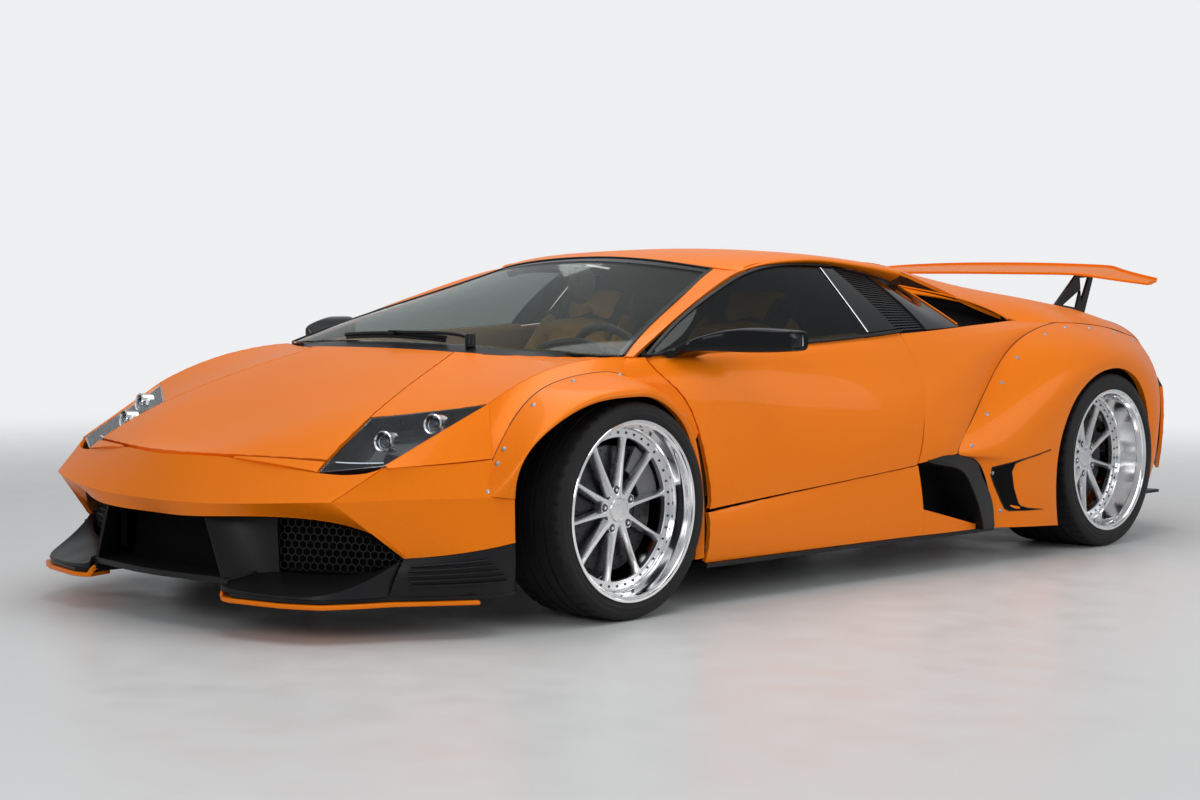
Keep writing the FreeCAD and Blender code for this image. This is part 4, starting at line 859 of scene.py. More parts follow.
PROJECTORS = [((626, -678, 546), 29), ((706, -562, 594), 29)]
PROJECTOR_WAY = unit((0.22, -0.97, 0.12))
RING_PROFILE = [(0.0295, 0.002), (0.0305, 0.006), (0.028, 0.0095), (0.0245, 0.006), (0.0235, -0.001),
                (0.0235, -0.03), (0.0305, -0.034), (0.0295, 0.002)]
lamp_rows = [LAMP_INNER, [tuple((a + b) / 2 for a, b in zip(p, q)) for p, q in zip(LAMP_INNER, LAMP_OUTER)],
             LAMP_OUTER]
for end, side in SIDES:
    outer = fine_grid(inset(place(lamp_rows), (MOVING, FIXED, FIXED, FIXED)), (), (10, 20))
    way = outward(outer)
    lens_part = shell_mesh(outer, 0.003, way)
    lens = made("headlamp_lens_" + end, lens_part, LENS_GLASS, smooth=20, side=side)
    wall_top = outer - way * 0.0035
    floor_grid = fine_grid(inset(place(lamp_rows), (0.012, 0.014, 0.012, 0.012)), (), (10, 20))
    floor_grid = floor_grid - way * 0.052
    loop = rim_of(*outer.shape[:2])
    rim_low, rim_floor, rim_way = (grid.reshape(-1, 3)[loop] for grid in (wall_top, floor_grid, way))
    rim_in = rim_low + unit(outer.mean((0, 1)) - rim_low) * 0.006 - rim_way * 0.0005
    ring = np.stack([rim_low, rim_in, rim_in * 0.25 + rim_floor * 0.75, rim_floor,
                     rim_floor - rim_way * 0.006, rim_low - rim_way * 0.03])
    wall = (ring.reshape(-1, 3), ring_quads(len(ring), len(loop)))
    tray = made("headlamp_tray_" + end, joined([wall, shell_mesh(floor_grid, 0.006, way)]), LAMP_DARK,
                smooth=25, side=side)
    bowls, balls = [], []
    for centre, radius in PROJECTORS:
        frame_here = frames_on([place([centre])[0]], PROJECTOR_WAY)
        scale = radius / 29
        profile = [(r * scale, h * scale) for r, h in RING_PROFILE]
        bowls.append(copies(turned(profile, 40), frame_here))
        bowls.append(copies(turned([(0.0225 * scale, -0.03), (0.0225 * scale, -0.012),
                                    (0.0205 * scale, -0.01), (0.0205 * scale, -0.03),
                                    (0.0225 * scale, -0.03)], 40), frame_here))
        balls.append(copies(turned([(0, 0.001), (0.008, 0.0), (0.014, -0.003), (0.018, -0.008),
                                    (0.0203, -0.014), (0.0203, -0.032), (0, -0.032)], 32), frame_here))
    chrome = made("headlamp_rings_" + end, joined(bowls), CHROME, side=side)
    glass = made("headlamp_balls_" + end, joined(balls), BALL_GLASS, side=side)
    slit_path = along([(527, -793, 489), (575, -776, 488), (630, -754, 489), (684, -731, 492)], 24)
    slit = made("headlamp_slit_" + end, swept(slit_path, flat_section(0.004, 0.0035)), LAMP_WHITE, side=side)
    shelf_back = along([(548, -760, 468), (590, -745, 467), (630, -728, 467), (672, -706, 470)], 24)
    shelf_grid = np.stack([slit_path + (0, 0.002, -0.003), (slit_path + shelf_back) / 2 + (0, 0, -0.001),
                           shelf_back])
    shelf = made("headlamp_shelf_" + end, shell_mesh(shelf_grid, 0.003), LAMP_DARK, side=side)
    for piece in (lens, tray, chrome, glass, slit, shelf):
        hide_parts("headlamps")

# Splitter: floors, intake walls, pans, cheeks and vanes

CENTRE_FLOOR = 142
SIDE_FLOOR = 112
PAN_EDGE = [(334, -1003, 152), (385, -1024, 136), (560, -988, 132), (660, -932, 138), (712, -845, 165),
            (757, -734, 224)]
PAN_BACK = [(356, -905, 172), (400, -872, 172), (500, -835, 172), (600, -795, 176), (680, -762, 190),
            (745, -722, 224)]
PAN_FOOT = [(334, -1003, 126.3), (385, -1026, 126.3), (560, -991, 126.3), (662, -934, 126.3),
            (722, -840, 126.3), (742, -764, 126.3)]
WALL_ROWS = [
    [(243, -1012, 326), (300, -930, 326), (385, -868, 326)],
    [(324, -1003, 127), (352, -930, 127), (400, -868, 127)],
]
CHEEK_ROWS = [
    [(764, -723, 231), (865, -590, 245), (930, -455, 268)],
    [(760, -752, 180), (868, -600, 185), (918, -440, 190)],
    [(744, -762, 126.3), (868, -580, 126.3), (902, -430, 126.3)],
]
doubled = [(60, -1036), (318, -1004), (318, -700), (-318, -700), (-318, -1004), (-60, -1036)]
floor_parts = [level_plate(doubled, CENTRE_FLOOR, CENTRE_FLOOR + 18)]
for sign in (1, -1):
    floor_parts.append(on_side(level_plate(
        [(330, -1004), (385, -1030), (560, -993), (664, -935), (745, -764), (880, -570), (905, -425),
         (520, -425), (330, -760)], SIDE_FLOOR, SIDE_FLOOR + 14), sign))
floors = made("splitter_floors", joined(floor_parts), BLACK_SATIN, round_edges=0.003)
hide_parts("front_splitter")
centre_back = place([(0, -880, 160), (290, -880, 160), (268, -880, 324), (0, -880, 322)])
side_back = place([(0, -690, 126.3), (700, -690, 126.3), (742, -690, 210), (742, -690, 330), (640, -690, 400),
                   (0, -690, 400)])
back_wall = made("intake_back", both(joined([prism(centre_back, (0, 0.012, 0)),
                                             prism(side_back, (0, 0.008, 0))])), BLACK_MATT)
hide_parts("front_splitter")
for end, side in SIDES:
    wall = skin("intake_wall_" + end, WALL_ROWS, BLACK_SATIN, gaps=(FIXED, 0, 0, 0), thick=0.009,
                fine=(8, 10), side=side)
    pan = skin("intake_pan_" + end, [PAN_BACK, PAN_EDGE, PAN_FOOT], BLACK_SATIN, creases=(1,),
               gaps=(0, 0, 0, 0), thick=0.007, fine=(8, 10), side=side)
    cheek = skin("splitter_cheek_" + end, CHEEK_ROWS, BLACK_SATIN, gaps=(FIXED, 0, 0, SHUT), thick=0.012,
                 fine=(10, 12), side=side)
    for piece in (wall, pan, cheek):
        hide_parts("front_splitter")
    cheek_grid = fine_grid(place(CHEEK_ROWS), (), (20, 20))
    vanes = []
    for level, low, high in ((9, 3, 30), (14, 3, 32), (19, 3, 34), (24, 4, 36), (29, 5, 37)):
        path = cheek_grid[level, low:high]
        vanes.append(swept(path + outward(cheek_grid)[level, low:high] * 0.004, flat_section(0.014, 0.0045)))
    vane = made("cheek_vanes_" + end, joined(vanes), BLACK_SATIN, smooth=40, side=side)
    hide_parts("front_splitter")
    lip_outline = [(322, -1012), (330, -1026), (352, -1036), (385, -1040), (470, -1024), (566, -1004),
                   (626, -976), (678, -943), (728, -850), (765, -760), (830, -664), (900, -560), (880, -560),
                   (640, -790), (345, -930)]
    lip = made("front_lip_" + end, level_plate(lip_outline, 99, 111.7), PAINT, round_edges=0.004, segments=3,
               smooth=40, side=side)
    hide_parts("front_lip")
    tip = made("lip_tip_" + end, swept(along([(326, -1018, 108), (323, -1014, 116), (321, -1007, 124),
                                              (322, -996, 129)], 16), flat_section(0.01, 0.016)), PAINT,
               smooth=40, side=side)
    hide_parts("front_lip")

# Honeycomb in the side intakes, and the dark wall behind it

CELL = 0.0235
CELL_WALL = 0.0034


def hexagon_walls(length, height, depth, keep):
    """Honeycomb cell walls in a plane: every hexagon ring of the lattice whose centre passes a test.

    A ring is six outer and six inner corners at two depths; neighbouring rings touch.
    """
    radius = CELL / math.sqrt(3)
    row_step, column_step = CELL * math.sqrt(3) / 2, CELL
    row, column = np.meshgrid(np.arange(int(height / row_step) + 1),
                              np.arange(int(length / column_step) + 1), indexing="ij")
    u = (column + 0.5 * (row % 2)) * column_step
    v = row * row_step
    good = keep(u, v)
    centres = np.stack([u[good], np.zeros(good.sum()), v[good]], -1)
    angle = np.radians(60 * np.arange(6) + 30)
    ring = np.stack([np.cos(angle), np.zeros(6), np.sin(angle)], -1)
    outer, inner = ring * radius, ring * (radius - CELL_WALL / 2)
    back = np.array((0, depth, 0))
    cell = np.concatenate([outer, inner, inner + back, outer + back])
    k = np.arange(6)
    ahead = (k + 1) % 6
    faces = []
    for low, high in ((0, 6), (6, 12), (12, 18), (18, 0)):
        faces += np.stack([low + k, low + ahead, high + ahead, high + k], -1).tolist()
    frames = np.tile(np.eye(4), (len(centres), 1, 1))
    frames[:, :3, 3] = centres
    return copies((cell, faces), frames)


GRILLE_START, GRILLE_END = (398, -866), (744, -716)
GRILLE_LOW = 172
start_point = place([(GRILLE_START[0], GRILLE_START[1], GRILLE_LOW)])[0]
grille_way = place([(GRILLE_END[0], GRILLE_END[1], GRILLE_LOW)])[0] - start_point
grille_length = float(np.linalg.norm(grille_way))


def inside_intake(u, v):
    """Cells between the pan below and the nose's lower edge above, by their place along the grille."""
    share = u / grille_length
    low = np.interp(share, [0, 0.55, 0.8, 1], [0.008, 0.008, 0.022, 0.056])
    high = np.interp(share, [0, 0.45, 1], [0.148, 0.15, 0.062])
    return (v > low) & (v < high) & (u > 0.008)


mesh_points, mesh_faces = hexagon_walls(grille_length, 0.15, 0.009, inside_intake)
grille_turn = np.stack([grille_way / grille_length,
                        np.cross((0, 0, 1), grille_way / grille_length), (0, 0, 1)])
mesh_points = mesh_points @ grille_turn + start_point
grilles = made("side_grilles", both((mesh_points, mesh_faces)), DARK_GRILLE, smooth=0)
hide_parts("front_grilles")
shroud = made("grille_shrouds", both(prism(place([(392, -838, 168), (744, -690, 168), (744, -690, 300),
                                                  (392, -838, 322)]), (0.004, 0.008, 0))), BLACK_MATT,
              smooth=0)
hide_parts("front_grilles")

# Glass. It is thin, so its index is close to one and its tint darkens what is behind it.

GLASS = material("tinted_glass", (0.17, 0.19, 0.19), 0.0, coat=0.3, index=1.02, slot="side_glass",
                 grain=(30, 0.0, 0.01, 0.0))
CLEAR_GLASS = material("windscreen_glass", (0.62, 0.68, 0.64), 0.0, coat=0.3, index=1.02,
                       slot="windscreen_glass", grain=(30, 0.0, 0.01, 0.0))
SEAL = material("window_seal", (0.012, 0.012, 0.012), 0.5, slot="satin_black", grain=(600, 0.4, 0.6, 0.1))

GLASS_SEAT = 4
window_low = [(x, station, z + GLASS_SEAT) for x, station, z in BELT + [door_rear(830, 873)]]
window_high = [(838, 196, 774), (730, 483, 888), (655, 760, 981), (602, 1040, 1050), door_rear(1062, 594)]
window_mid = [((a[0] + b[0]) / 2 + 12, (a[1] + b[1]) / 2, (a[2] + b[2]) / 2)
              for a, b in zip(window_low, window_high)]
WINDOW_ROWS = [window_high, window_mid, window_low]
SCREEN_ROWS = [
    [(794, 142, 778), (450, -2, 794), (0, -62, 804)],
    [(706, 347, 859), (400, 255, 886), (0, 212, 894)],
    [(613, 592, 941), (340, 512, 964), (0, 474, 974)],
    [(500, 904, 1046), (258, 874, 1075), (0, 884, 1086)],
]


def at_columns(grid, columns):
    """Points of a grid at fractional columns, one set per row: the straight mix of two columns."""
    low = np.minimum(columns.astype(int), grid.shape[1] - 2)
    share = (columns - low)[..., None]
    row = np.arange(len(grid))[:, None]
    return grid[row, low] * (1 - share) + grid[row, low + 1] * share


for end, side in SIDES:
    pane = skin("side_glass_" + end, WINDOW_ROWS, GLASS, "door_" + end, gaps=(0.003,) * 4, thick=0.004,
                fine=(10, 10), side=side)
    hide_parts("door_window_" + end)
    pane_grid = fine_grid(place(WINDOW_ROWS), (), (10, 10))
    over = pane_grid + outward(pane_grid) * 0.0015
    top_seal = swept(over[0], flat_section(0.012, 0.006), up=(0.4, 0, 1))
    low_seal = swept(over[-1] + (0.003, 0, 0.004), flat_section(0.01, 0.008), up=(1, 0, 0.3))
    made("window_seals_" + end, joined([top_seal, low_seal]), SEAL, "door_" + end, smooth=40, side=side)
    line = np.interp(np.arange(len(over)), [0, 10, 20], [38.6, 36.4, 34.2])[:, None]
    rear_panel = at_columns(over, line + np.linspace(0, 1, 8) * (over.shape[1] - 1.2 - line))
    made("window_panel_" + end, shell_mesh(rear_panel[1:-1], 0.006, outward(rear_panel[1:-1])), BLACK_GLOSS,
         "door_" + end, smooth=40, side=side)
    edge = swept(at_columns(over, line)[1:-1, 0] + (0.001, 0, 0.001), flat_section(0.007, 0.003),
                 up=(1, 0, 0.6))
    made("window_trim_" + end, edge, CHROME, "door_" + end, smooth=40, side=side)
screen = skin("windscreen_skin", across(SCREEN_ROWS), CLEAR_GLASS, gaps=(FIXED,) * 4, thick=0.005,
              fine=(10, 10))
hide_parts("windscreen")
screen_grid = fine_grid(place(across(SCREEN_ROWS)), (), (10, 16))
edge_line = np.concatenate([screen_grid[:, 0], screen_grid[-1, 1:-1], screen_grid[::-1, -1]])
made("windscreen_seal", swept(edge_line + (0, 0, 0.0015), flat_section(0.009, 0.006)), SEAL, smooth=40)

bands = [shell_mesh(grid + outward(grid) * 0.001, 0.002, outward(grid))
         for grid in (screen_grid[:, :2], screen_grid[:, -2:], screen_grid[-2:, 1:-1])]
made("windscreen_band", joined(bands), BLACK_GLOSS, smooth=40)

COWL_ROWS = [
    [(790, 134, 768), (565, 9, 768), (326, -122, 776), (0, -120, 781)],
    [(791, 139, 775), (551, 36, 787), (303, -40, 796), (0, -65, 802)],
]
skin("cowl", across(COWL_ROWS), BLACK_SATIN, gaps=(0.004, 0, 0, 0), thick=0.006, fine=(6, 10), proud=0.0004)

# Black panel behind the door: a mesh strip let into it and a deep opening with an orange fin

vent_grid = fine_grid(place(VENT_ROWS), (), (12, 10))
vent_way = outward(vent_grid)
OPENING_START = 32
STRIP = (0, 15)


def sunk(grid, way, depth, ramp_steps):
    """A sheet that follows a grid at its rim and lies a depth below it inside, by smooth steps."""
    i = np.arange(grid.shape[0])[:, None]
    j = np.arange(grid.shape[1])[None, :]
    edge = np.minimum(np.minimum(i, grid.shape[0] - 1 - i), np.minimum(j, grid.shape[1] - 1 - j))
    share = np.clip(edge / ramp_steps, 0, 1)[..., None]
    return grid - way * depth * share


def strip_mesh(grid, way, first, last, slats, thick, tilt):
    """Slats across a strip of a grid: each is a thin bar along a row of it, turned by the tilt."""
    parts = []
    for share in np.linspace(0, 1, slats):
        row = share * (grid.shape[0] - 1)
        low = int(min(row, grid.shape[0] - 2))
        part = row - low
        path = grid[low, first:last] * (1 - part) + grid[low + 1, first:last] * part
        out = way[low, first:last].mean(0)
        parts.append(swept(path - way[low, first:last] * 0.006, flat_section(thick, 0.0025), up=out + tilt))
    return joined(parts)


for end, side in SIDES:
    pieces = []
    middle = vent_grid[:, STRIP[1]:OPENING_START + 1]
    pieces.append(made("vent_middle_" + end, shell_mesh(middle, 0.008, outward(middle)), BLACK_GLOSS,
                       smooth=20, round_edges=0.0015, side=side))
    strip = inset(vent_grid[:, STRIP[0]:STRIP[1] + 1], (SHUT, SHUT, MOVING, 0))
    strip_low = sunk(strip, outward(strip), 0.022, 2)
    pieces.append(made("vent_strip_back_" + end, shell_mesh(strip_low, 0.004, outward(strip)), BLACK_MATT,
                       smooth=0, side=side))
    slats = strip_mesh(vent_grid, vent_way, STRIP[0] + 1, STRIP[1], 26, 0.007, np.array((0, -0.3, 0.5)))
    ribs = joined([swept(vent_grid[:, k] - vent_way[:, k] * 0.009, flat_section(0.003, 0.003),
                         up=(1, 0, 0.4)) for k in range(STRIP[0] + 1, STRIP[1], 2)])
    pieces.append(made("vent_strip_mesh_" + end, joined([slats, ribs]), DARK_GRILLE, smooth=0, side=side))
    deep = vent_grid[:, OPENING_START:]
    deep_low = sunk(deep, outward(deep), 0.055, 2)
    pieces.append(made("side_opening_" + end, shell_mesh(deep_low, 0.004, outward(deep)), BLACK_MATT,
                       smooth=0, side=side))
    for piece in pieces:
        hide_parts("side_vents")
    blade_row, blade_tip, blade_low = vent_grid[:5:2, OPENING_START - 1:OPENING_START + 11]
    reach = np.linspace(1, 0, len(blade_row))[:, None]
    blade = np.stack([blade_row, blade_low]) * reach + blade_tip * (1 - reach)
    made("opening_fin_" + end, shell_mesh(blade - (0.003, 0, 0), 0.005, outward(blade)), PAINT, smooth=40,
         side=side)
    proud = vent_grid + vent_way * 0.002
    made("opening_rim_" + end, swept(proud[0, OPENING_START:], flat_section(0.007, 0.006)), PAINT, smooth=40,
         side=side)
    made("opening_front_rim_" + end, swept(proud[1:-1, OPENING_START], flat_section(0.004, 0.005),
                                           up=(1, 0, 0.5)), PAINT, smooth=40, side=side)

# Side scoops, and the slash vents on the rear overfenders

HOOD = [
    [(996, 1490, 396), (1007, 1644, 406), (1013, 1759, 377), (1017, 1797, 321), (1019, 1852, 244),
     (1019, 1870, 134.3)],
    [(1000, 1484, 392), (1024, 1545, 378), (1036, 1630, 356), (1038, 1690, 300), (1037, 1745, 220),
     (1033, 1782, 134.3)],
    [(898, 1500, 376), (898, 1560, 366), (898, 1650, 346), (898, 1712, 290), (898, 1765, 214),
     (898, 1800, 134.3)],
]
SLASH = [(1858, 350), (1917, 359), (1990, 370), (2061, 380), (2188, 398), (2100, 384), (2020, 373),
         (1968, 360), (1957, 330), (1978, 270), (2010, 214), (2026, 201), (2068, 190), (2173, 180),
         (2068, 183), (1968, 187), (1945, 197), (1930, 216), (1885, 280), (1860, 322)]
rear_grid = fine_grid(place(REAR_FLARE[:3]), (), (30, 12))
for end, side in SIDES:
    hood = skin("side_scoop_" + end, HOOD, BLACK_SATIN, creases=(1,), gaps=(0.0006, 0, 0, 0), thick=0.006,
                fine=(8, 12), side=side, smooth=30)
    lining = made("scoop_lining_" + end, level_plate([(885, 1440), (896, 1440), (896, 1800), (885, 1800)],
                                                     134.6, 374), BLACK_MATT, side=side)
    edge_row = fine_grid(place(HOOD), (1,), (8, 12))[8]
    lip_line = made("scoop_edge_" + end, swept(edge_row, round_section(0.004, 8)), BLACK_SATIN, smooth=50,
                    side=side)
    for piece in (hood, lining, lip_line):
        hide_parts("side_scoops")
    outline = np.array(SLASH, float)
    x = depth_on(rear_grid, outline[:, 0], outline[:, 1])
    rim = place(np.stack([x + 1.2, outline[:, 0], outline[:, 1]], -1))
    low = rim - (0.006, 0, 0)
    made("slash_vent_" + end, prism(low, (0.0066, 0, 0)), BLACK_MATT, smooth=0, side=side)
    lip_path = place(np.stack([x + 1.0, outline[:, 0], outline[:, 1]], -1))
    made("slash_rim_" + end, swept(lip_path, round_section(0.0022, 6), up=(1, 0, 0.01), closed=True),
         BLACK_SATIN, smooth=50, side=side)

# Bolts round the overfenders: a cup washer and a domed head with a sunk drive

BOLT = [(0, 0.0036), (0.0021, 0.0036), (0.0021, 0.0052), (0.0036, 0.0049), (0.005, 0.0036), (0.0053, 0.0022),
        (0.0072, 0.0018), (0.0085, 0.0002), (0.0085, -0.002), (0, -0.002)]
FRONT_BOLTS = (2, 11, 15, 28, 40, 54, 65, 75)
REAR_BOLTS = (7, 19, 40, 52, 64, 73, 87, 96, 108, 120, 132, 146, 160)
BOLT_ROW = 2
flare_grids = [fine_grid(place(rows[:3]), (), (10, 12)) for rows in (FRONT_FLARE, REAR_FLARE)]
flare_bolts = []
for grid, columns in zip(flare_grids, (FRONT_BOLTS, REAR_BOLTS)):
    way = outward(grid)
    flare_bolts.append(copies(turned(BOLT, 14), frames_on(grid[BOLT_ROW, columns], way[BOLT_ROW, columns])))
made("flare_bolts", both(joined(flare_bolts)), STEEL, smooth=35)

# Rubber strips in the seams between overfenders and body

for end, side in SIDES:
    strips = []
    for grid in flare_grids:
        way = outward(grid)
        strips.append(swept(grid[0, 1:-1] - way[0, 1:-1] * 0.0008, round_section(0.0022, 6)))
    made("flare_seam_" + end, joined(strips), SEAL, smooth=60, side=side)

# Dark liners in the wheel arches


def arch_liner(lip_row, axle_station, radius, reach, inner_x):
    """A sheet from a flare's lip in over the tyre: below the lip it keeps each point's angle
    about the axle and takes the larger of the lip's distance and a clear reach."""
    lip = spread(len(lip_row), 8) @ place(lip_row)
    centre = np.array((0, (FRONT_AXLE + axle_station) * MM, radius * MM))
    arm = (lip - centre) * (0, 1, 1)
    far = np.linalg.norm(arm, axis=1, keepdims=True)
    wide = centre + arm / far * np.maximum(far + 0.002, reach)
    low = lip + arm / far * 0.002
    grid = np.stack([low, wide + (0.84, 0, 0), wide + (inner_x, 0, 0)])
    return shell_mesh(grid, -0.003, (grid - centre) * (0, 1, 1) / np.linalg.norm(
        (grid - centre) * (0, 1, 1), axis=-1, keepdims=True))


for end, side in SIDES:
    made("arch_liners_" + end, joined([arch_liner(FRONT_FLARE[3], 0, FRONT_RADIUS, 0.387, 0.55),
                                       arch_liner(REAR_FLARE[3], WHEELBASE, REAR_RADIUS, 0.37, 0.66)]),
         BLACK_MATT, smooth=40, side=side)

# Mirrors: a rounded pod on a stalk, with a glass set into its back

MIRROR = [(930, 320, 490, 790, 838), (985, 440, 590, 786, 862), (1074, 545, 655, 788, 858),
          (1088, 580, 650, 800, 845)]


def pod_rings(sections, power, count):
    """Rounded rings between front and rear stations and lower and upper heights at each x:
    each ring point is the box's half sizes times cos and sin raised to a power."""
    table = spread(len(sections), 8) @ np.array(sections, float)
    angle = turns(count)
    c = np.sign(np.cos(angle)) * np.abs(np.cos(angle)) ** power
    s = np.sign(np.sin(angle)) * np.abs(np.sin(angle)) ** power
    x, front, rear, low, high = (table[:, k:k + 1] for k in range(5))
    return np.stack([x + 0 * c, (front + rear) / 2 + (rear - front) / 2 * c,
                     (low + high) / 2 + (high - low) / 2 * s], -1)


# Luggage tray under the bonnet, its rings stacked upwards: outside, flange and inside

TRAY = [[(306, -660, -290, -460, 460), (456, -690, -268, -500, 500)],
        [(456, -850, -262, -520, 520), (460, -850, -262, -520, 520)],
        [(460, -686, -272, -496, 496), (311, -656, -294, -456, 456)]]
tray = np.concatenate([pod_rings(rings, 0.3, 64) for rings in TRAY])[..., ::-1]
made("luggage_tray", lidded(place(tray)), BLACK_SATIN, round_edges=0.002)

for end, side in SIDES:
    rings = pod_rings([(857, 262, 385, 768, 796), (890, 290, 430, 778, 815)] + MIRROR, 0.42, 40)
    rings = place(rings)
    cap = rings[-1].mean(0) + (rings[-1] - rings[-1].mean(0)) * 0.55 + (0.003, 0, 0)
    pod = made("mirror_pod_" + end, lidded(np.concatenate([rings, cap[None]])), BLACK_GLOSS, "door_" + end,
               smooth=40, side=side)
    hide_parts("mirror_" + end)
    face = place([(975, 588, 797), (1080, 657, 798), (1090, 652, 806), (1088, 653, 846), (1078, 655, 852),
                  (980, 592, 852), (968, 584, 846), (966, 582, 804)])
    glass = made("mirror_glass_" + end, prism(face - (0, 0.006, 0), (0, 0.008, 0)), CHROME, "door_" + end,
                 round_edges=0.001, side=side)
    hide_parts("mirror_" + end)

# Wiper: arm, hinge block, blade holder and rubber, on the black cowl


def on_screen(x, rise):
    """A point over the windscreen or cowl at a place across and a share of the first screen span."""
    row = screen_grid[min(int(rise * 10), 9)]
    order = np.argsort(row[:, 0])
    return np.array([x * MM, np.interp(x * MM, row[order, 0], row[order, 1]),
                     np.interp(x * MM, row[order, 0], row[order, 2])])


arm_path = np.array([on_screen(x, 0) + (0, -0.006 + d, h) for x, d, h in (
    (318, -0.012, 0.012), (290, -0.01, 0.03), (200, -0.004, 0.034), (90, 0, 0.032), (-20, 0.002, 0.03))])
arm_path = spread(5, 8) @ arm_path
blade_path = np.array([on_screen(x, 0) + (0, 0.006, h) for x, h in (
    (-300, 0.02), (-180, 0.024), (-40, 0.026), (80, 0.024), (200, 0.02))])
blade_path = spread(5, 10) @ blade_path
width = 0.010 + 0.010 * np.linspace(1, 0, len(arm_path))
arm_section = flat_section(1, 1)[None] * np.stack([width, width * 0 + 0.011], -1)[:, None]
wiper_parts = [swept(arm_path, arm_section), swept(blade_path, flat_section(0.014, 0.012)),
               swept(blade_path - (0, 0, 0.01), flat_section(0.004, 0.012)),
               copies(turned([(0, 0.026), (0.012, 0.026), (0.017, 0.02), (0.017, -0.016), (0, -0.016)], 20),
                      frames_on([arm_path[0]], (0, 0, 1))),
               copies(prism(np.array([(-0.018, -0.012, 0), (0.018, -0.012, 0), (0.018, 0.012, 0),
                                      (-0.018, 0.012, 0)]), (0, 0, 0.014)),
                      frames_on([arm_path[-1] + (0, 0.002, -0.008)], (0, 0, 1)))]
wiper = made("wiper_arm", joined(wiper_parts), BLACK_SATIN, smooth=40, round_edges=0.0012)
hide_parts("wiper")

# Engine lid slats and the wing

lid_grid = fine_grid(place(across(LID_ROWS)), (), (30, 8))
lid_way = outward(lid_grid)
slat_parts = []
for level in range(22, 98, 9):
    path = lid_grid[level, 6:27]
    lift = path + lid_way[level, 6:27] * 0.006
    slat_parts.append(swept(lift, flat_section(0.05, 0.004), up=(0, 0.22, 1)))
bed = lid_grid[18:102, 5:28]
slats = made("lid_slats", joined(slat_parts), BLACK_SATIN, "engine_lid", smooth=40)
bed_part = made("lid_bed", shell_mesh(bed + lid_way[18:102, 5:28] * 0.001, 0.003, lid_way[18:102, 5:28]),
                BLACK_MATT, "engine_lid", smooth=0)
for piece in (slats, bed_part):
    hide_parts("engine_lid")

WING_ROWS = [
    [(850, 3262, 1014), (620, 3220, 1044), (500, 3210, 1054), (250, 3203, 1056), (0, 3200, 1057)],
    [(850, 3300, 1022), (620, 3350, 1060), (500, 3360, 1070), (250, 3350, 1074), (0, 3345, 1075)],
    [(850, 3336, 1025), (620, 3440, 1066), (500, 3512, 1080), (250, 3500, 1088), (0, 3490, 1090)],
]
wing_top = fine_grid(place(across(WING_ROWS)), (), (10, 8))
chord = np.linspace(0, 1, len(wing_top))[:, None, None]
belly = 0.016 * (1 - 0.35 * np.abs(2 * chord - 0.8))
wing_low = wing_top - np.array((0, 0, 1)) * belly
rows, columns = wing_top.shape[:2]
faces = quads(rows, columns, flip=True) + quads(rows, columns, rows * columns)
faces += rim_quads(rows, columns).tolist()
wing = made("wing_blade", (np.concatenate([wing_top.reshape(-1, 3), wing_low.reshape(-1, 3)]), faces), PAINT,
            smooth=30, round_edges=0.004, segments=3)
gurney_path = wing_top[-1] + (0, -0.004, 0.002)
gurney = made("wing_lip", swept(gurney_path, flat_section(0.006, 0.014)), PAINT, smooth=40)
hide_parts("wing")
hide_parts("wing")

# Tail: lamps with light bars on a dark base, grille slats and exhaust

TAIL_TOP = [(818, 3267, 752), (640, 3385, 828), (400, 3455, 856), (0, 3490, 866)]
TAIL_LOW = [(925, 3262, 595), (700, 3500, 612), (440, 3560, 618), (0, 3580, 622)]


def between(a, b, share):
    """The point at a share of the way from a to b."""
    return tuple(p + share * (q - p) for p, q in zip(a, b))


LAMP_RED = material("tail_lamp_red", (0.35, 0.004, 0.004), 0.12, coat=0.4, glow=(0.05, 0.0, 0.0),
                    slot="tail_lamp_red", flecks=((0.32, 0.003, 0.003), (0.5, 0.01, 0.008), 220, 0.6, 0.2))
TAIL_LAMP = [
    [TAIL_TOP[0], TAIL_TOP[1], between(TAIL_TOP[1], TAIL_TOP[2], 0.58)],
    [TAIL_LOW[0], TAIL_LOW[1], between(TAIL_LOW[1], TAIL_LOW[2], 0.58)],
]
GRILLE_ROWS = [
    [between(TAIL_TOP[1], TAIL_TOP[2], 0.6), TAIL_TOP[2], TAIL_TOP[3]],
    [between(TAIL_LOW[1], TAIL_LOW[2], 0.6), TAIL_LOW[2], TAIL_LOW[3]],
]
for end, side in SIDES:
    base = skin("tail_lamp_base_" + end, TAIL_LAMP, LAMP_DARK, gaps=(SHUT,) * 4, thick=0.02, fine=(24, 16),
                side=side)
    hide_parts("tail_lamps")
    grid = fine_grid(inset(place(TAIL_LAMP), (SHUT,) * 4), (), (24, 16))
    way = outward(grid)
    bars = []
    for level in (4, 12, 20):
        bars.append(swept(grid[level, 4:29] + way[level, 4:29] * 0.002, flat_section(0.006, 0.014)))
    for column in (4, 16, 28):
        path = grid[4:21, column] + way[4:21, column] * 0.002
        bars.append(swept(path, flat_section(0.014, 0.006), up=(0, 1, 0.2)))
    red = made("tail_light_bars_" + end, joined(bars), LAMP_RED, smooth=40, side=side)
    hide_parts("tail_lamps")
back = skin("tail_grille_back", across(GRILLE_ROWS), BLACK_MATT, gaps=(SHUT,) * 4, thick=0.01, fine=(24, 8))
back_grid = fine_grid(place(across(GRILLE_ROWS)), (), (24, 8))
back_way = outward(back_grid)
bars = [swept(back_grid[level, 1:-1] + back_way[level, 1:-1] * 0.004, flat_section(0.012, 0.005))
        for level in range(2, 24, 3)]
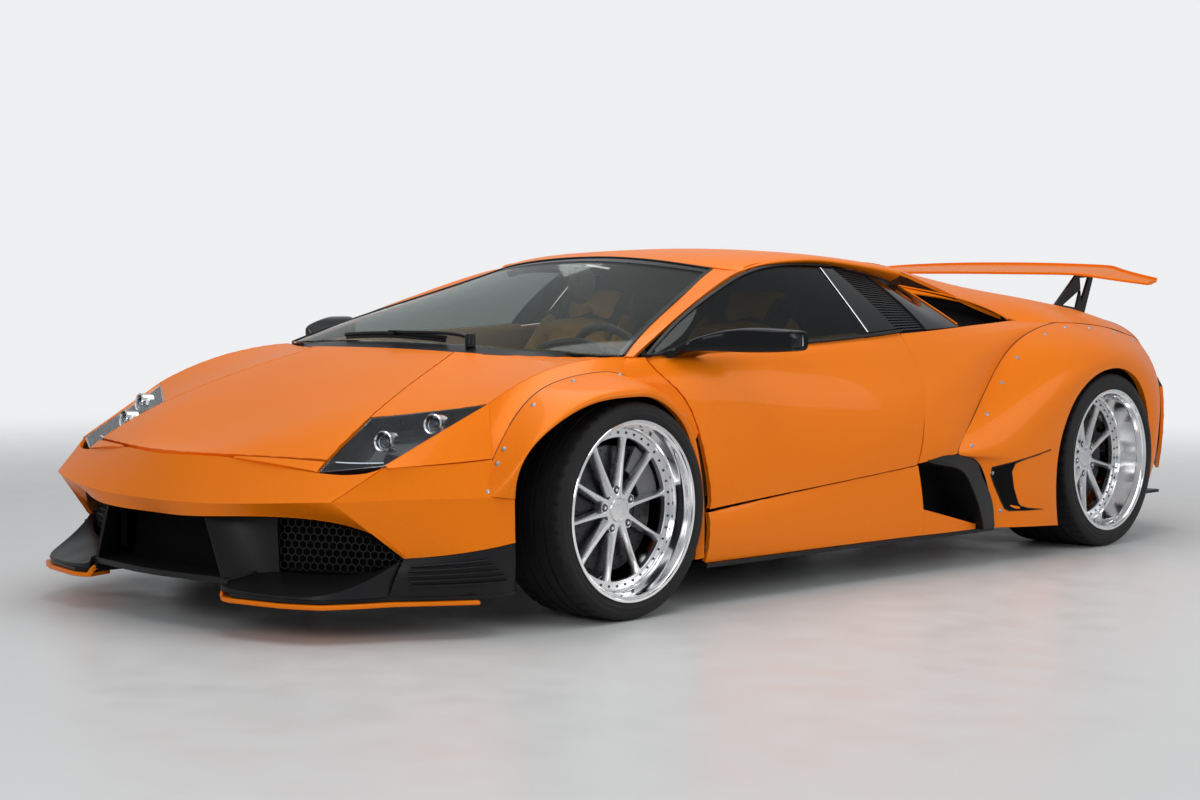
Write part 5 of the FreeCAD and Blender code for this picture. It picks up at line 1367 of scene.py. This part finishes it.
bars += [swept(back_grid[1:-1, k] + back_way[1:-1, k] * 0.001, flat_section(0.006, 0.006), up=(0, 1, 0.2))
         for k in range(4, back_grid.shape[1] - 3, 4)]
slat_piece = made("tail_grille_slats", joined(bars), DARK_GRILLE, smooth=40)
for piece in (back, slat_piece):
    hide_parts("tail_grille")

EXHAUST_Z = 400
HOLE_RADIUS = 0.0672
pipe_profile = [(0.062, 0.0), (0.0625, 0.30), (0.0635, 0.304), (0.066, 0.306), (0.068, 0.303),
                (0.068, 0.298), (0.067, 0.29), (0.067, -0.14), (0.062, -0.14), (0.062, 0.0)]
pipe = made("exhaust_pipe", copies(turned(pipe_profile, 48),
                                   frames_on(place([(0, 3300, EXHAUST_Z)]), (0, 1, 0))), STEEL)
inner = made("exhaust_core", copies(turned([(0, 0.0), (0.0615, 0.0), (0.0615, -0.02), (0, -0.02)], 32),
                                    frames_on(place([(0, 3440, EXHAUST_Z)]), (0, 1, 0))), BLACK_MATT)
collar = made("exhaust_collar", copies(turned([(0.0685, 0), (0.074, 0.001), (0.075, 0.006), (0.0685, 0.008),
                                               (0.0685, 0)], 40),
                                       frames_on(place([(0, 3592, EXHAUST_Z)]), (0, 1, 0))), BLACK_SATIN)
for piece in (pipe, inner, collar):
    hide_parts("exhaust")
hole_points, hole_faces = copies(turned([(0, 0), (HOLE_RADIUS, 0), (HOLE_RADIUS, 0.4), (0, 0.4)], 48),
                                 frames_on(place([(0, 3300, EXHAUST_Z)]), (0, 1, 0)))
hole_mesh = bpy.data.meshes.new("exhaust_hole")
hole_mesh.from_pydata(hole_points.tolist(), [], hole_faces)
face_out(hole_mesh)
hole = bpy.data.objects.new("exhaust_hole", hole_mesh)
bpy.context.scene.collection.objects.link(hole)
cut = tail.modifiers.new("exhaust_hole", "BOOLEAN")
cut.operation = "DIFFERENCE"
cut.object = hole
bake(tail)
bpy.data.objects.remove(hole)

# Wheels. Along the axle h is 0 at the rim's outer face and falls inboard; r is the radius.

SPOKES = 10
RING_BOLTS = 40
LUGS = 5
LUG_CIRCLE = 0.060


def rim_lip(dish, width):
    """Closed outline of the polished barrel: stepped lip, well, back flange and tyre side."""
    d, w = dish, width
    return [(.2715, -.008), (.2715, -.002), (.270, 0), (.2635, 0), (.262, -.0015), (.2612, -.006),
            (.2562, -.0085), (.2545, -.010), (.2535, -.015), (.2505, -.024), (.2490, -.034),
            (.2483, -d + .018), (.2465, -d + .014), (.2440, -d + .010), (.2432, -d + .002),
            (.2405, -d - .002), (.2385, -d - .010), (.2385, -w + .070), (.2440, -w + .045),
            (.2540, -w + .022), (.2620, -w + .010), (.2640, -w + .001), (.2700, -w), (.2715, -w + .002),
            (.2715, -w + .010), (.2580, -w + .014), (.2480, -w + .040), (.2460, -d - .020),
            (.2520, -d + .010), (.2555, -.030), (.2575, -.018), (.2590, -.010), (.2715, -.008)]


def spoke_part(dish):
    """A spoke along the first axis: at each radius a section with a narrow flat top and sloping
    flanks, wide at the hub, slim in the middle and splayed where it meets the ring."""
    share = np.linspace(0, 1, 13)[:, None]
    radius = 0.040 + share * 0.182
    top = 0.0065 - 0.0030 * share + 0.0085 * np.clip((share - 0.86) / 0.14, 0, 1) ** 2 \
        + 0.004 * np.clip((0.2 - share) / 0.2, 0, 1)
    foot = 0.0150 - 0.0060 * share + 0.0080 * np.clip((share - 0.82) / 0.18, 0, 1) ** 2
    face = -dish + 0.001 + 0.005 * np.clip(1 - share * 1.8, 0, 1)
    low = face - 0.030 + 0.010 * share
    t = np.concatenate([-foot, -foot, -top, -top + 0.0012, top - 0.0012, top, foot, foot], 1)
    h = np.concatenate([low, low + 0.006, face - 0.0016, face, face, face - 0.0016, low + 0.006, low], 1)
    points = np.stack([np.broadcast_to(radius, t.shape), t, h], -1)
    faces = quads(13, 8, closed=True)
    faces.append(list(range(8))[::-1])
    faces.append([12 * 8 + k for k in range(8)])
    return points.reshape(-1, 3), faces


def hub_part(dish):
    """The star hub: radius 62 mm plus 12 mm times the cosine of five turns, in stepped layers."""
    angle = turns(80)
    wave = np.cos(LUGS * angle)
    layers = [(0, 0.0, -0.034), (0.058, 0.012, -0.034), (0.0625, 0.0125, -0.012), (0.0615, 0.0120, 0.0025),
              (0.0600, 0.0115, 0.0040), (0.0420, 0.0080, 0.0042), (0.0370, 0.0, 0.0035), (0.0345, 0, 0.0010),
              (0.0335, 0, 0.0030), (0.0310, 0, 0.0060), (0.0200, 0, 0.0072), (0, 0, 0.0075)]
    rings = [np.stack([(r + a * wave) * np.cos(angle), (r + a * wave) * np.sin(angle),
                       np.full(80, h - dish)], -1) for r, a, h in layers[1:-1]]
    return lidded(np.array(rings), [(0, 0, layers[0][2] - dish), (0, 0, layers[-1][2] - dish)])


def circle_frames(count, radius, height, phase=0.0):
    """Placements round the axle, each turned to point its first axis outwards."""
    angle = turns(count) + phase
    frames = np.zeros((count, 4, 4))
    frames[:, 0, 0], frames[:, 0, 1] = np.cos(angle), -np.sin(angle)
    frames[:, 1, 0], frames[:, 1, 1] = np.sin(angle), np.cos(angle)
    frames[:, 2, 2] = frames[:, 3, 3] = 1
    frames[:, 0, 3], frames[:, 1, 3] = radius * np.cos(angle), radius * np.sin(angle)
    frames[:, 2, 3] = height
    return frames


def tyre_part(radius, width, steps=240):
    """Tyre as a grid of angle by outline: the outline's radius less the tread pattern, which cuts
    four grooves round it and a slot at each shoulder every fifth step."""
    w = width
    outline = [(.2580, -.019), (.2620, -.012), (.2700, -.0062), (.2780, -.0035), (.2860, -.0012),
               (.2880, -.0004), (.2900, -.0012), (.3000, -.0010), (.3040, -.0004), (.3070, -.0016),
               (radius - .013, -.004), (radius - .006, -.009), (radius - .0025, -.016),
               (radius - .0008, -.026), (radius - .0003, -.040)]
    grooves = []
    for centre in np.array((0.24, 0.41, 0.59, 0.76)) * w:
        grooves += [(radius, -centre + .0050), (radius - .0068, -centre + .0038),
                    (radius - .0068, -centre - .0038), (radius, -centre - .0050)]
    back = [(r, -w - h) for r, h in outline[::-1]]
    close = [(.2560, -w + .022), (.2560, -.022)]
    profile = np.array(outline + grooves + back + close)
    angle = turns(steps)
    r = np.repeat(profile[None, :, 0], steps, 0)
    h = np.repeat(profile[None, :, 1], steps, 0)
    edge = np.minimum(-profile[:, 1], w + profile[:, 1])
    shoulder = (edge > .010) & (edge < .050) & (profile[:, 0] > radius - .01)
    slot = (np.arange(steps) % 5 == 0)[:, None] & shoulder[None]
    r = r - np.where(slot, .0045, 0)
    points = np.stack([r * np.cos(angle)[:, None], r * np.sin(angle)[:, None], h], -1)
    return points.reshape(-1, 3), ring_quads(*points.shape[:2], flip=True)


LUG_NUT = [(0, 0.004), (0.004, 0.004), (0.0052, 0.003), (0.0052, -0.004), (0, -0.004)]
LUG_CUP = [(0.0150, 0.0002), (0.0144, 0.0012), (0.0130, 0.0008), (0.0122, -0.003), (0.0150, -0.003),
           (0.0150, 0.0002)]
RING_BOLT = [(0, 0.0024), (0.0018, 0.0024), (0.0026, 0.0030), (0.0036, 0.0028), (0.0042, 0.0018),
             (0.0042, -0.001), (0, -0.001)]
WHEELS = {
    # outer face x, axle station, radius, tyre width, dish, in metres
    "front": (0.975, 0, 0.326, 0.262, 0.074),
    "rear": (1.036, WHEELBASE, 0.3335, 0.350, 0.118),
}
WHEEL_TURN = {"front": 0.16, "rear": 0.42}
DARK_STEEL = material("dark_steel", (0.09, 0.09, 0.095), 0.4, metal=1.0, grain=(300, 0.3, 0.5, 0.1))


def wheel_place(part, axle, side):
    """From wheel axes to the car: the axle along x, first axis rearwards, second upwards."""
    points, cells = part
    face_x, station, radius = axle[:3]
    points = np.asarray(points).reshape(-1, 3)
    placed = np.stack([face_x + points[:, 2], (station + FRONT_AXLE) * MM + points[:, 0],
                       radius + points[:, 1]], -1)
    return on_side((placed, cells), side)


for axle_name, axle in WHEELS.items():
    face_x, station, radius, width, dish = axle
    turn = WHEEL_TURN[axle_name]
    spin = copies(spoke_part(dish), circle_frames(SPOKES, 0, 0, turn))
    ring = turned([(.2415, -dish - .001), (.2405, -dish + .0012), (.2180, -dish + .0012),
                   (.2160, -dish - .001), (.2160, -dish - .016), (.2415, -dish - .016),
                   (.2415, -dish - .001)], 120)
    hub = copies(hub_part(dish), circle_frames(1, 0, 0.0, turn + math.pi / 10))
    lug_frames = circle_frames(LUGS, LUG_CIRCLE, -dish + 0.0042, turn + math.pi / 10)
    cups = copies(turned(LUG_CUP, 20), lug_frames)
    face_parts = joined([spin, ring, hub, cups])
    dark = joined([
        copies(turned([(0, 0.0006), (0.0128, 0.0006), (0.0128, -0.002), (0, -0.002)], 20), lug_frames),
        copies(turned(RING_BOLT, 8), circle_frames(RING_BOLTS, .2300, -dish + .0010, turn))])
    nuts = copies(turned(LUG_NUT, 6), lug_frames)
    disc_out = -dish - 0.039
    disc = turned([(.186, disc_out), (.190, disc_out - .002), (.190, disc_out - .009),
                   (.184, disc_out - .0095), (.184, disc_out - .0165), (.190, disc_out - .017),
                   (.190, disc_out - .024), (.186, disc_out - .026), (.118, disc_out - .026),
                   (.116, disc_out - .02), (.116, disc_out - .004), (.118, disc_out), (.186, disc_out)], 72)
    bell = turned([(0, disc_out + .004), (.066, disc_out + .004), (.100, disc_out + .001),
                   (.118, disc_out - .002), (.118, disc_out - .010), (.096, disc_out - .010),
                   (0, disc_out - .010)], 48)
    # Drilled holes in the disc are drawn as matt black dots on its face: painted shade of the holes
    hole_shade_dots = []
    for r_hole, phase in ((.132, 0.0), (.148, 0.12), (.164, 0.24), (.178, 0.36)):
        hole_shade_dots.append(copies(turned([(0, .0005), (.0030, .0005), (.0030, -.001), (0, -.001)], 6),
                                 circle_frames(18, r_hole, disc_out, phase)))
    for end, side in SIDES:
        name = "%s_%s" % (axle_name, end)
        body = "wheel_" + name
        for title, part, finish, slot, smooth in (
                ("rim_barrel_", turned(rim_lip(dish, width), 144), POLISHED, "polished_rim", 24),
                ("rim_face_", face_parts, BRUSHED, "polished_rim", 28),
                ("rim_bolts_", dark, DARK_STEEL, "brake_metal", 35),
                ("rim_nuts_", nuts, POLISHED, "polished_rim", 30),
                ("brake_disc_", joined([disc, bell]), DISC, "brake_metal", 30),
                ("disc_hole_shade_", joined(hole_shade_dots), BLACK_MATT, "brake_metal", 0)):
            piece = made(title + name, wheel_place(part, axle, side), finish, body, smooth=smooth)
            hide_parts("rim_" + name)
        tyre = made("tyre_" + name + "_tread", wheel_place(tyre_part(radius, width), axle, side), RUBBER,
                    body, smooth=32)
        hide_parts("tyre_" + name)

# Cabin: padded seats, dashboard, steering wheel, door trims, mirror and belts

LEATHER = material("tan_leather", (0.55, 0.30, 0.06), 0.5, slot="tan_leather",
                   flecks=((0.50, 0.25, 0.035), (0.66, 0.38, 0.07), 260, 0.35, 0.5),
                   grain=(420, 0.42, 0.6, 0.25))
DARK_LEATHER = material("dark_leather", (0.02, 0.02, 0.021), 0.5, slot="dark_leather",
                        flecks=((0.014, 0.014, 0.015), (0.035, 0.033, 0.03), 300, 0.4, 0.5),
                        grain=(420, 0.4, 0.6, 0.25))
THREAD = material("seat_thread", (0.35, 0.18, 0.03), 0.8, slot="tan_leather", grain=(900, 0.7, 0.9, 0.3))
BELT_WEB = material("belt_webbing", (0.03, 0.03, 0.03), 0.75, slot="dark_leather",
                    grain=(800, 0.65, 0.85, 0.4))
SEAT_X = 390
PAD_VOXEL = 0.006
CLOTH_FRAMES = 20
PAD_SHARE = 0.4     # of a pad's triangles that stay


def pad_part(path_rows, thick, crown):
    """A pad from rows of (x, station, z) down its face: the back face lies a thickness behind and
    both pull in at the rim, by the crown times the square of the distance from the middle."""
    grid = fine_grid(place(path_rows), (), (10, 10))
    way = normals_of(grid)
    if way[..., 2].mean() < 0:
        way = -way
    u = np.linspace(-1, 1, grid.shape[0])[:, None, None]
    v = np.linspace(-1, 1, grid.shape[1])[None, :, None]
    fall = crown * (np.abs(u) ** 6 + np.abs(v) ** 6)
    return shell_mesh(grid - way * fall, thick - crown, way)


def puffed(piece, cap):
    """Pads a piece with Blender's cloth: remeshed in 6 mm voxels, pressed from inside, each point
    held to within a cap of where it was, then smoothed by one subdivision."""
    start = piece.modifiers.new("cells", "REMESH")
    start.mode = "VOXEL"
    start.voxel_size = PAD_VOXEL
    bake(piece)
    before = np.empty(len(piece.data.vertices) * 3)
    piece.data.vertices.foreach_get("co", before)
    cloth = piece.modifiers.new("padding", "CLOTH")
    cloth.settings.use_pressure = True
    cloth.settings.uniform_pressure_force = 4
    cloth.settings.effector_weights.gravity = 0
    for number in range(1, CLOTH_FRAMES + 1):
        bpy.context.scene.frame_set(number)
    bake(piece)
    bpy.context.scene.frame_set(1)
    after = np.empty(len(before))
    piece.data.vertices.foreach_get("co", after)
    move = (after - before).reshape(-1, 3)
    length = np.linalg.norm(move, axis=1, keepdims=True)
    move *= np.minimum(1, cap / np.maximum(length, 1e-9))
    piece.data.vertices.foreach_set("co", (before.reshape(-1, 3) + move).ravel())
    piece.data.update()


for end, side in SIDES:
    seat_pieces = []
    cushion = pad_part([[(SEAT_X + x, s, z + abs(x) * 0.10) for x in (-165, -80, 0, 80, 165)] for s,
                        z in ((575, 338), (620, 378), (760, 366), (900, 350), (1005, 342))], 0.07, 0.02)
    back = pad_part([[(SEAT_X + x, s - abs(x) * 0.12, z) for x in (-165, -80, 0, 80, 165)] for s,
                     z in ((1010, 345), (1060, 470), (1130, 640), (1205, 800), (1240, 860))], 0.07, 0.02)
    head = pad_part([[(SEAT_X + x, s - abs(x) * 0.08, z) for x in (-120, -60, 0, 60, 120)]
                     for s, z in ((1243, 862), (1262, 915), (1282, 960), (1300, 985))], 0.06, 0.018)
    for title, part in (("seat_cushion_", cushion), ("seat_back_", back), ("seat_head_", head)):
        pad = made(title + end, part, LEATHER, smooth=60, side=side)
        puffed(pad, 0.02)
        pad.data.materials.clear()
        pad.data.materials.append(LEATHER)
        soft = pad.modifiers.new("softness", "SUBSURF")
        soft.levels = soft.render_levels = 1
        pad.modifiers.new("thinning", "DECIMATE").ratio = PAD_SHARE
        pad.data.shade_smooth()
        seat_pieces.append(pad)
    shell_parts = []
    for sign in (-1, 1):
        wing_path = along([(SEAT_X + sign * 205, 580, 345), (SEAT_X + sign * 212, 760, 380),
                           (SEAT_X + sign * 214, 960, 400), (SEAT_X + sign * 214, 1080, 560),
                           (SEAT_X + sign * 208, 1180, 740), (SEAT_X + sign * 190, 1260, 850)], 30)
        grow = np.sin(np.linspace(0.35, np.pi - 0.35, 30)) * 0.75 + 0.35
        outline = round_section(1, 14)[None] * np.stack([0.032 * grow, 0.062 * grow], -1)[:, None]
        shell_parts.append(swept(wing_path, outline, up=(0.0, -0.6, 0.8)))
    bolster = made("seat_bolsters_" + end, joined(shell_parts), LEATHER, smooth=60, side=side)
    tub_line = [(545, 175), (1105, 175), (1180, 420), (1345, 900), (1310, 975), (1262, 900), (1085, 385),
                (1000, 262), (585, 300)]
    seat_shell = made("seat_shell_" + end, upright_plate(SEAT_X, tub_line, 380), DARK_LEATHER,
                      round_edges=0.02, segments=4, side=side)
    threads = []
    for x in (-82, 82):
        for line in (((600, 373), (760, 372), (900, 357), (990, 347)),
                     ((1045, 400), (1105, 560), (1180, 730))):
            path = along([(SEAT_X + x, s, z + 9) for s, z in line], 30)
            threads.append(swept(path, round_section(0.0016, 5)))
    thread = made("seat_seams_" + end, joined(threads), THREAD, smooth=60, side=side)
    belt_path = along([(SEAT_X + 120, 1330, 905), (SEAT_X + 118, 1262, 900), (SEAT_X + 70, 1160, 700),
                       (SEAT_X - 40, 1065, 470), (SEAT_X - 160, 1000, 372)], 40)
    belt = made("seat_belt_" + end, swept(belt_path + (0, -0.02, 0.012), flat_section(0.046, 0.002),
                                          up=(0, -0.8, 0.5)), BELT_WEB, smooth=40, side=side)
    for piece in seat_pieces + [bolster, seat_shell, thread, belt]:
        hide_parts("seats")

DASH_ROWS = [
    [(700, 152, 738), (400, 148, 742), (0, 146, 744)],
    [(700, 300, 768), (400, 300, 774), (0, 300, 776)],
    [(700, 410, 742), (400, 425, 748), (0, 430, 750)],
    [(690, 446, 690), (400, 452, 690), (0, 455, 690)],
    [(520, 430, 590), (400, 430, 580), (0, 430, 575)],
]
dash = skin("dash_top", across(DASH_ROWS), LEATHER, creases=(3,), gaps=(0,) * 4, thick=0.012, fine=(8, 8),
            smooth=40)
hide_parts("dashboard")
hood_path = along([(370 + 150 * math.cos(a), 395 + 25 * math.sin(a), 752 + 48 * math.sin(a))
                   for a in np.linspace(0, math.pi, 7)], 30)
binnacle = made("instrument_hood", joined([swept(hood_path, flat_section(0.014, 0.12), up=(0, -1, 0.2)),
                                           prism(place([(225, 430, 738), (515, 430, 738), (500, 430, 770),
                                                        (440, 430, 794), (370, 430, 799), (300, 430, 794),
                                                        (240, 430, 770)]), (0, -0.01, 0))]), DARK_LEATHER,
                smooth=40, round_edges=0.003)
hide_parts("dashboard")
dials = made("instrument_rings", copies(turned([(0.026, 0), (0.03, 0.001), (0.032, 0.004), (0.034, 0),
                                                (0.026, 0)], 32),
                                        frames_on(place([(300, 437, 762), (370, 437, 766), (440, 437, 762)]),
                                                  (0, 1, 0.1))), CHROME)
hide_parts("dashboard")
made("centre_console", upright_plate(0, [(455, 400), (440, 600), (470, 640), (640, 500), (760, 445),
                                         (1480, 430), (1480, 300), (455, 300)], 230), DARK_LEATHER,
     round_edges=0.015, segments=3)

# Roof lining, its side rails and the panel behind the seats

roof_grid = fine_grid(place(across(ROOF_ROWS)), (), (6, 8))[:, 8:-8]
roof_way = outward(roof_grid)
made("roof_lining", shell_mesh(roof_grid - roof_way * 0.02, 0.004, roof_way), DARK_LEATHER)
rail_path = along([(564, 1000, 1026), (564, 1250, 1047), (560, 1650, 1024), (548, 1850, 986)], 30)
made("roof_rails", both(swept(rail_path, flat_section(0.04, 0.03))), DARK_LEATHER, round_edges=0.006)
pillar_path = along([(door_rear(z, x)[0] - 26, door_rear(z, x)[1], z) for z, x in
                     ((834, 868), (950, 728), (1050, 603))], 24)
made("cabin_pillars", both(swept(pillar_path, flat_section(0.008, 0.07), up=(0, 1, 0))), DARK_LEATHER,
     round_edges=0.002)
made("cabin_rear_panel", both(prism(place([(0, 1516, 1092), (275, 1516, 1086), (510, 1516, 1064),
                                           (562, 1516, 1036), (700, 1516, 940), (735, 1516, 905),
                                           (735, 1516, 860), (0, 1516, 860)]), (0, 0.008, 0))), DARK_LEATHER,
     smooth=0)

wheel_centre = place([(370, 560, 690)])[0]
wheel_way = unit(np.array((0, 0.94, 0.34)))
wheel_frame = frames_on([wheel_centre], wheel_way)
ring_angle = np.linspace(0, 2 * np.pi, 65)[:-1]
ring_path = np.stack([0.178 * np.cos(ring_angle), 0.172 * np.sin(ring_angle), 0 * ring_angle], -1)
ring = swept(ring_path, round_section(0.0145, 12), up=(0, 0, 1), closed=True)
grip = copies(ring, wheel_frame)
arms = []
for angle in (0.12, math.pi - 0.12, -math.pi / 2):
    way = np.array((math.cos(angle), math.sin(angle), 0))
    path = np.outer(np.linspace(0.03, 0.172, 10), way) + np.stack(
        [np.zeros(10), np.zeros(10), -0.02 * (1 - np.linspace(0, 1, 10) ** 2)], -1)
    wide = 0.034 - 0.014 * np.linspace(0, 1, 10)
    arms.append(copies(swept(path, flat_section(1, 1)[None] * np.stack([wide, wide * 0 + 0.01], -1)[:,
                                                                                                    None]),
                       wheel_frame))
boss = copies(turned([(0, 0.012), (0.03, 0.010), (0.046, 0.002), (0.05, -0.012), (0.036, -0.03),
                      (0.03, -0.118), (0, -0.118)], 40), wheel_frame)
steering = made("steering_grip", joined([grip] + arms + [boss]), DARK_LEATHER, smooth=40)
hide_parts("steering_wheel")
made("inner_mirror", joined([copies(turned([(0, 0.004), (0.05, 0.004), (0.062, 0.0), (0.066, -0.008),
                                            (0.05, -0.022), (0, -0.026)], 32),
                                    frames_on([np.array((0, -1.275 + 0.80, 0.985))], (0, 1, -0.1))),
                             swept(along([(0, 790, 990), (0, 778, 1010), (0, 790, 1042)], 12),
                                   round_section(0.006, 8), up=(1, 0, 0))]), DARK_LEATHER, smooth=50)
TRIM_ROWS = [
    [(818, 330, 772), (830, 560, 781), (840, 900, 792), (848, 1300, 808)],
    [(778, 330, 752), (792, 560, 765), (802, 900, 776), (808, 1300, 792)],
    [(812, 340, 640), (826, 560, 640), (842, 900, 645), (858, 1320, 655)],
    [(842, 400, 480), (858, 640, 480), (876, 900, 488), (892, 1310, 500)],
    [(850, 400, 330), (860, 640, 335), (874, 900, 350), (888, 1290, 380)],
]
for end, side in SIDES:
    grid = fine_grid(place(TRIM_ROWS), (), (8, 8))
    trim = made("door_trim_" + end, shell_mesh(grid, 0.01, outward(grid)), LEATHER, "door_" + end, smooth=40,
                side=side)
    rest_path = along([(822, 560, 610), (812, 760, 622), (826, 1040, 628)], 24)
    rest = made("door_pull_" + end, swept(rest_path, flat_section(0.05, 0.03)), DARK_LEATHER, "door_" + end,
                smooth=40, side=side)
    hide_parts("door_" + end)
    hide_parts("door_" + end)

# Finishes of the CAD nodes that stay

NODE_FINISH = {
    "side_skirts": BLACK_SATIN, "wing_struts": BLACK_SATIN, "tub": BLACK_MATT, "knuckle_left": CAST,
    "knuckle_right": CAST, "front_frame": BLACK_SATIN, "rear_frame": BLACK_SATIN, "engine_block": CAST,
    "diffuser": BLACK_SATIN,
}
for node, finish in NODE_FINISH.items():
    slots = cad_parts[node].data.materials
    slots.clear()
    slots.append(finish)

# Camera, solved from the photograph's wheels and wheelbase

CAMERA_PLACE = (5.18953, -5.9808, 1.00805)
CAMERA_YAW = 0.747488
CAMERA_PITCH = 0.0559162
CAMERA_ROLL = 0.00803976
FOCAL_PIXELS = 2150.007
FRAME_PIXELS = 1200
SENSOR = 36


def add_camera():
    """The camera: forward from yaw and pitch, then rolled about it."""
    forward = Vector((-math.sin(CAMERA_YAW) * math.cos(CAMERA_PITCH),
                      math.cos(CAMERA_YAW) * math.cos(CAMERA_PITCH), -math.sin(CAMERA_PITCH)))
    right = Vector((math.cos(CAMERA_YAW), math.sin(CAMERA_YAW), 0))
    up = right.cross(forward)
    right, up = (right * math.cos(CAMERA_ROLL) + up * math.sin(CAMERA_ROLL),
                 up * math.cos(CAMERA_ROLL) - right * math.sin(CAMERA_ROLL))
    camera = bpy.data.objects.new("camera", bpy.data.cameras.new("camera"))
    camera.data.sensor_width = SENSOR
    camera.data.lens = FOCAL_PIXELS / FRAME_PIXELS * SENSOR
    camera.matrix_world = Matrix.Translation(CAMERA_PLACE) @ Matrix(
        (right, up, -forward)).transposed().to_4x4()
    bpy.context.scene.collection.objects.link(camera)
    bpy.context.scene.camera = camera


add_camera()

# Floor, backdrop and lights


def add_light(name, place_at, target, size, power, color=(1, 1, 1)):
    """A soft rectangular lamp aimed at a point."""
    lamp = bpy.data.lights.new(name, "AREA")
    lamp.shape = "RECTANGLE"
    lamp.size, lamp.size_y = size
    lamp.energy = power
    lamp.color = color
    holder = bpy.data.objects.new(name, lamp)
    way = Vector(target) - Vector(place_at)
    holder.matrix_world = Matrix.Translation(place_at) @ way.to_track_quat("-Z", "Y").to_matrix().to_4x4()
    bpy.context.scene.collection.objects.link(holder)
    return holder


BACKDROP = (0.86, 0.87, 0.88)
AMBIENT = 0.4
GLOSS_SHARE = 0.24      # of the backdrop that shows in gloss
FLOOR_HALF = 12
FADE = (3.0, 9.0)       # where the floor starts and ends its fade, from the middle


def add_stage():
    """A large pale floor that fades into the backdrop, and a world that is a pale studio to the
    camera, gloss and glass."""
    floor_mat = material("floor", (0.68, 0.68, 0.67), 0.35, shine=0.2, grain=(12, 0.28, 0.4, 0.0))
    nodes = floor_mat.node_tree
    near = new_node(nodes, "ShaderNodeTexCoord")
    reach = new_node(nodes, "ShaderNodeVectorMath", operation="LENGTH")
    fade = new_node(nodes, "ShaderNodeMapRange", interpolation_type="SMOOTHSTEP")
    fade.inputs["From Min"].default_value, fade.inputs["From Max"].default_value = FADE
    nodes.links.new(near.outputs["Object"], reach.inputs[0])
    nodes.links.new(reach.outputs["Value"], fade.inputs["Value"])
    fade.inputs["To Min"].default_value, fade.inputs["To Max"].default_value = 1.0, 0.0
    nodes.links.new(fade.outputs["Result"], shader_of(floor_mat).inputs["Alpha"])
    size = FLOOR_HALF
    floor = mesh_object("floor", [(-size, -size, 0), (size, -size, 0), (size, size, 0), (-size, size, 0)],
                        [(0, 1, 2, 3)], floor_mat, smooth=0)
    world = bpy.data.worlds.new("studio")
    bpy.context.scene.world = world
    world.use_nodes = True
    tree = world.node_tree
    light = tree.nodes["Background"]
    light.inputs["Color"].default_value = (0.9, 0.95, 1.0, 1)
    light.inputs["Strength"].default_value = AMBIENT
    shown = new_node(tree, "ShaderNodeBackground")
    shown.inputs["Color"].default_value = (*BACKDROP, 1)
    shown.inputs["Strength"].default_value = 1.0
    rays = new_node(tree, "ShaderNodeLightPath")
    glass = new_node(tree, "ShaderNodeMath", operation="MAXIMUM")
    gloss = new_node(tree, "ShaderNodeMath", operation="MULTIPLY")
    gloss.inputs[1].default_value = GLOSS_SHARE
    total = new_node(tree, "ShaderNodeMath", operation="MAXIMUM")
    mix = new_node(tree, "ShaderNodeMixShader")
    link = tree.links.new
    link(rays.outputs["Is Camera Ray"], glass.inputs[0])
    link(rays.outputs["Is Transmission Ray"], glass.inputs[1])
    link(rays.outputs["Is Glossy Ray"], gloss.inputs[0])
    link(glass.outputs[0], total.inputs[0])
    link(gloss.outputs[0], total.inputs[1])
    link(total.outputs[0], mix.inputs["Fac"])
    link(light.outputs[0], mix.inputs[1])
    link(shown.outputs[0], mix.inputs[2])
    link(mix.outputs[0], tree.nodes["World Output"].inputs["Surface"])


add_stage()
add_light("overhead", (0.3, -0.4, 4.6), (0, 0.0, 0), (3.4, 7.0), 150)
add_light("front_left", (3.6, -6.6, 3.0), (0.2, -0.8, 0.5), (3.0, 2.0), 75)
add_light("side", (6.0, 2.0, 2.4), (0.5, 0.4, 0.5), (6.0, 2.2), 85)
add_light("behind", (-4.5, 5.5, 3.2), (0, 1, 0.5), (3, 2), 70).visible_glossy = False
bpy.context.scene.view_settings.view_transform = "Standard"
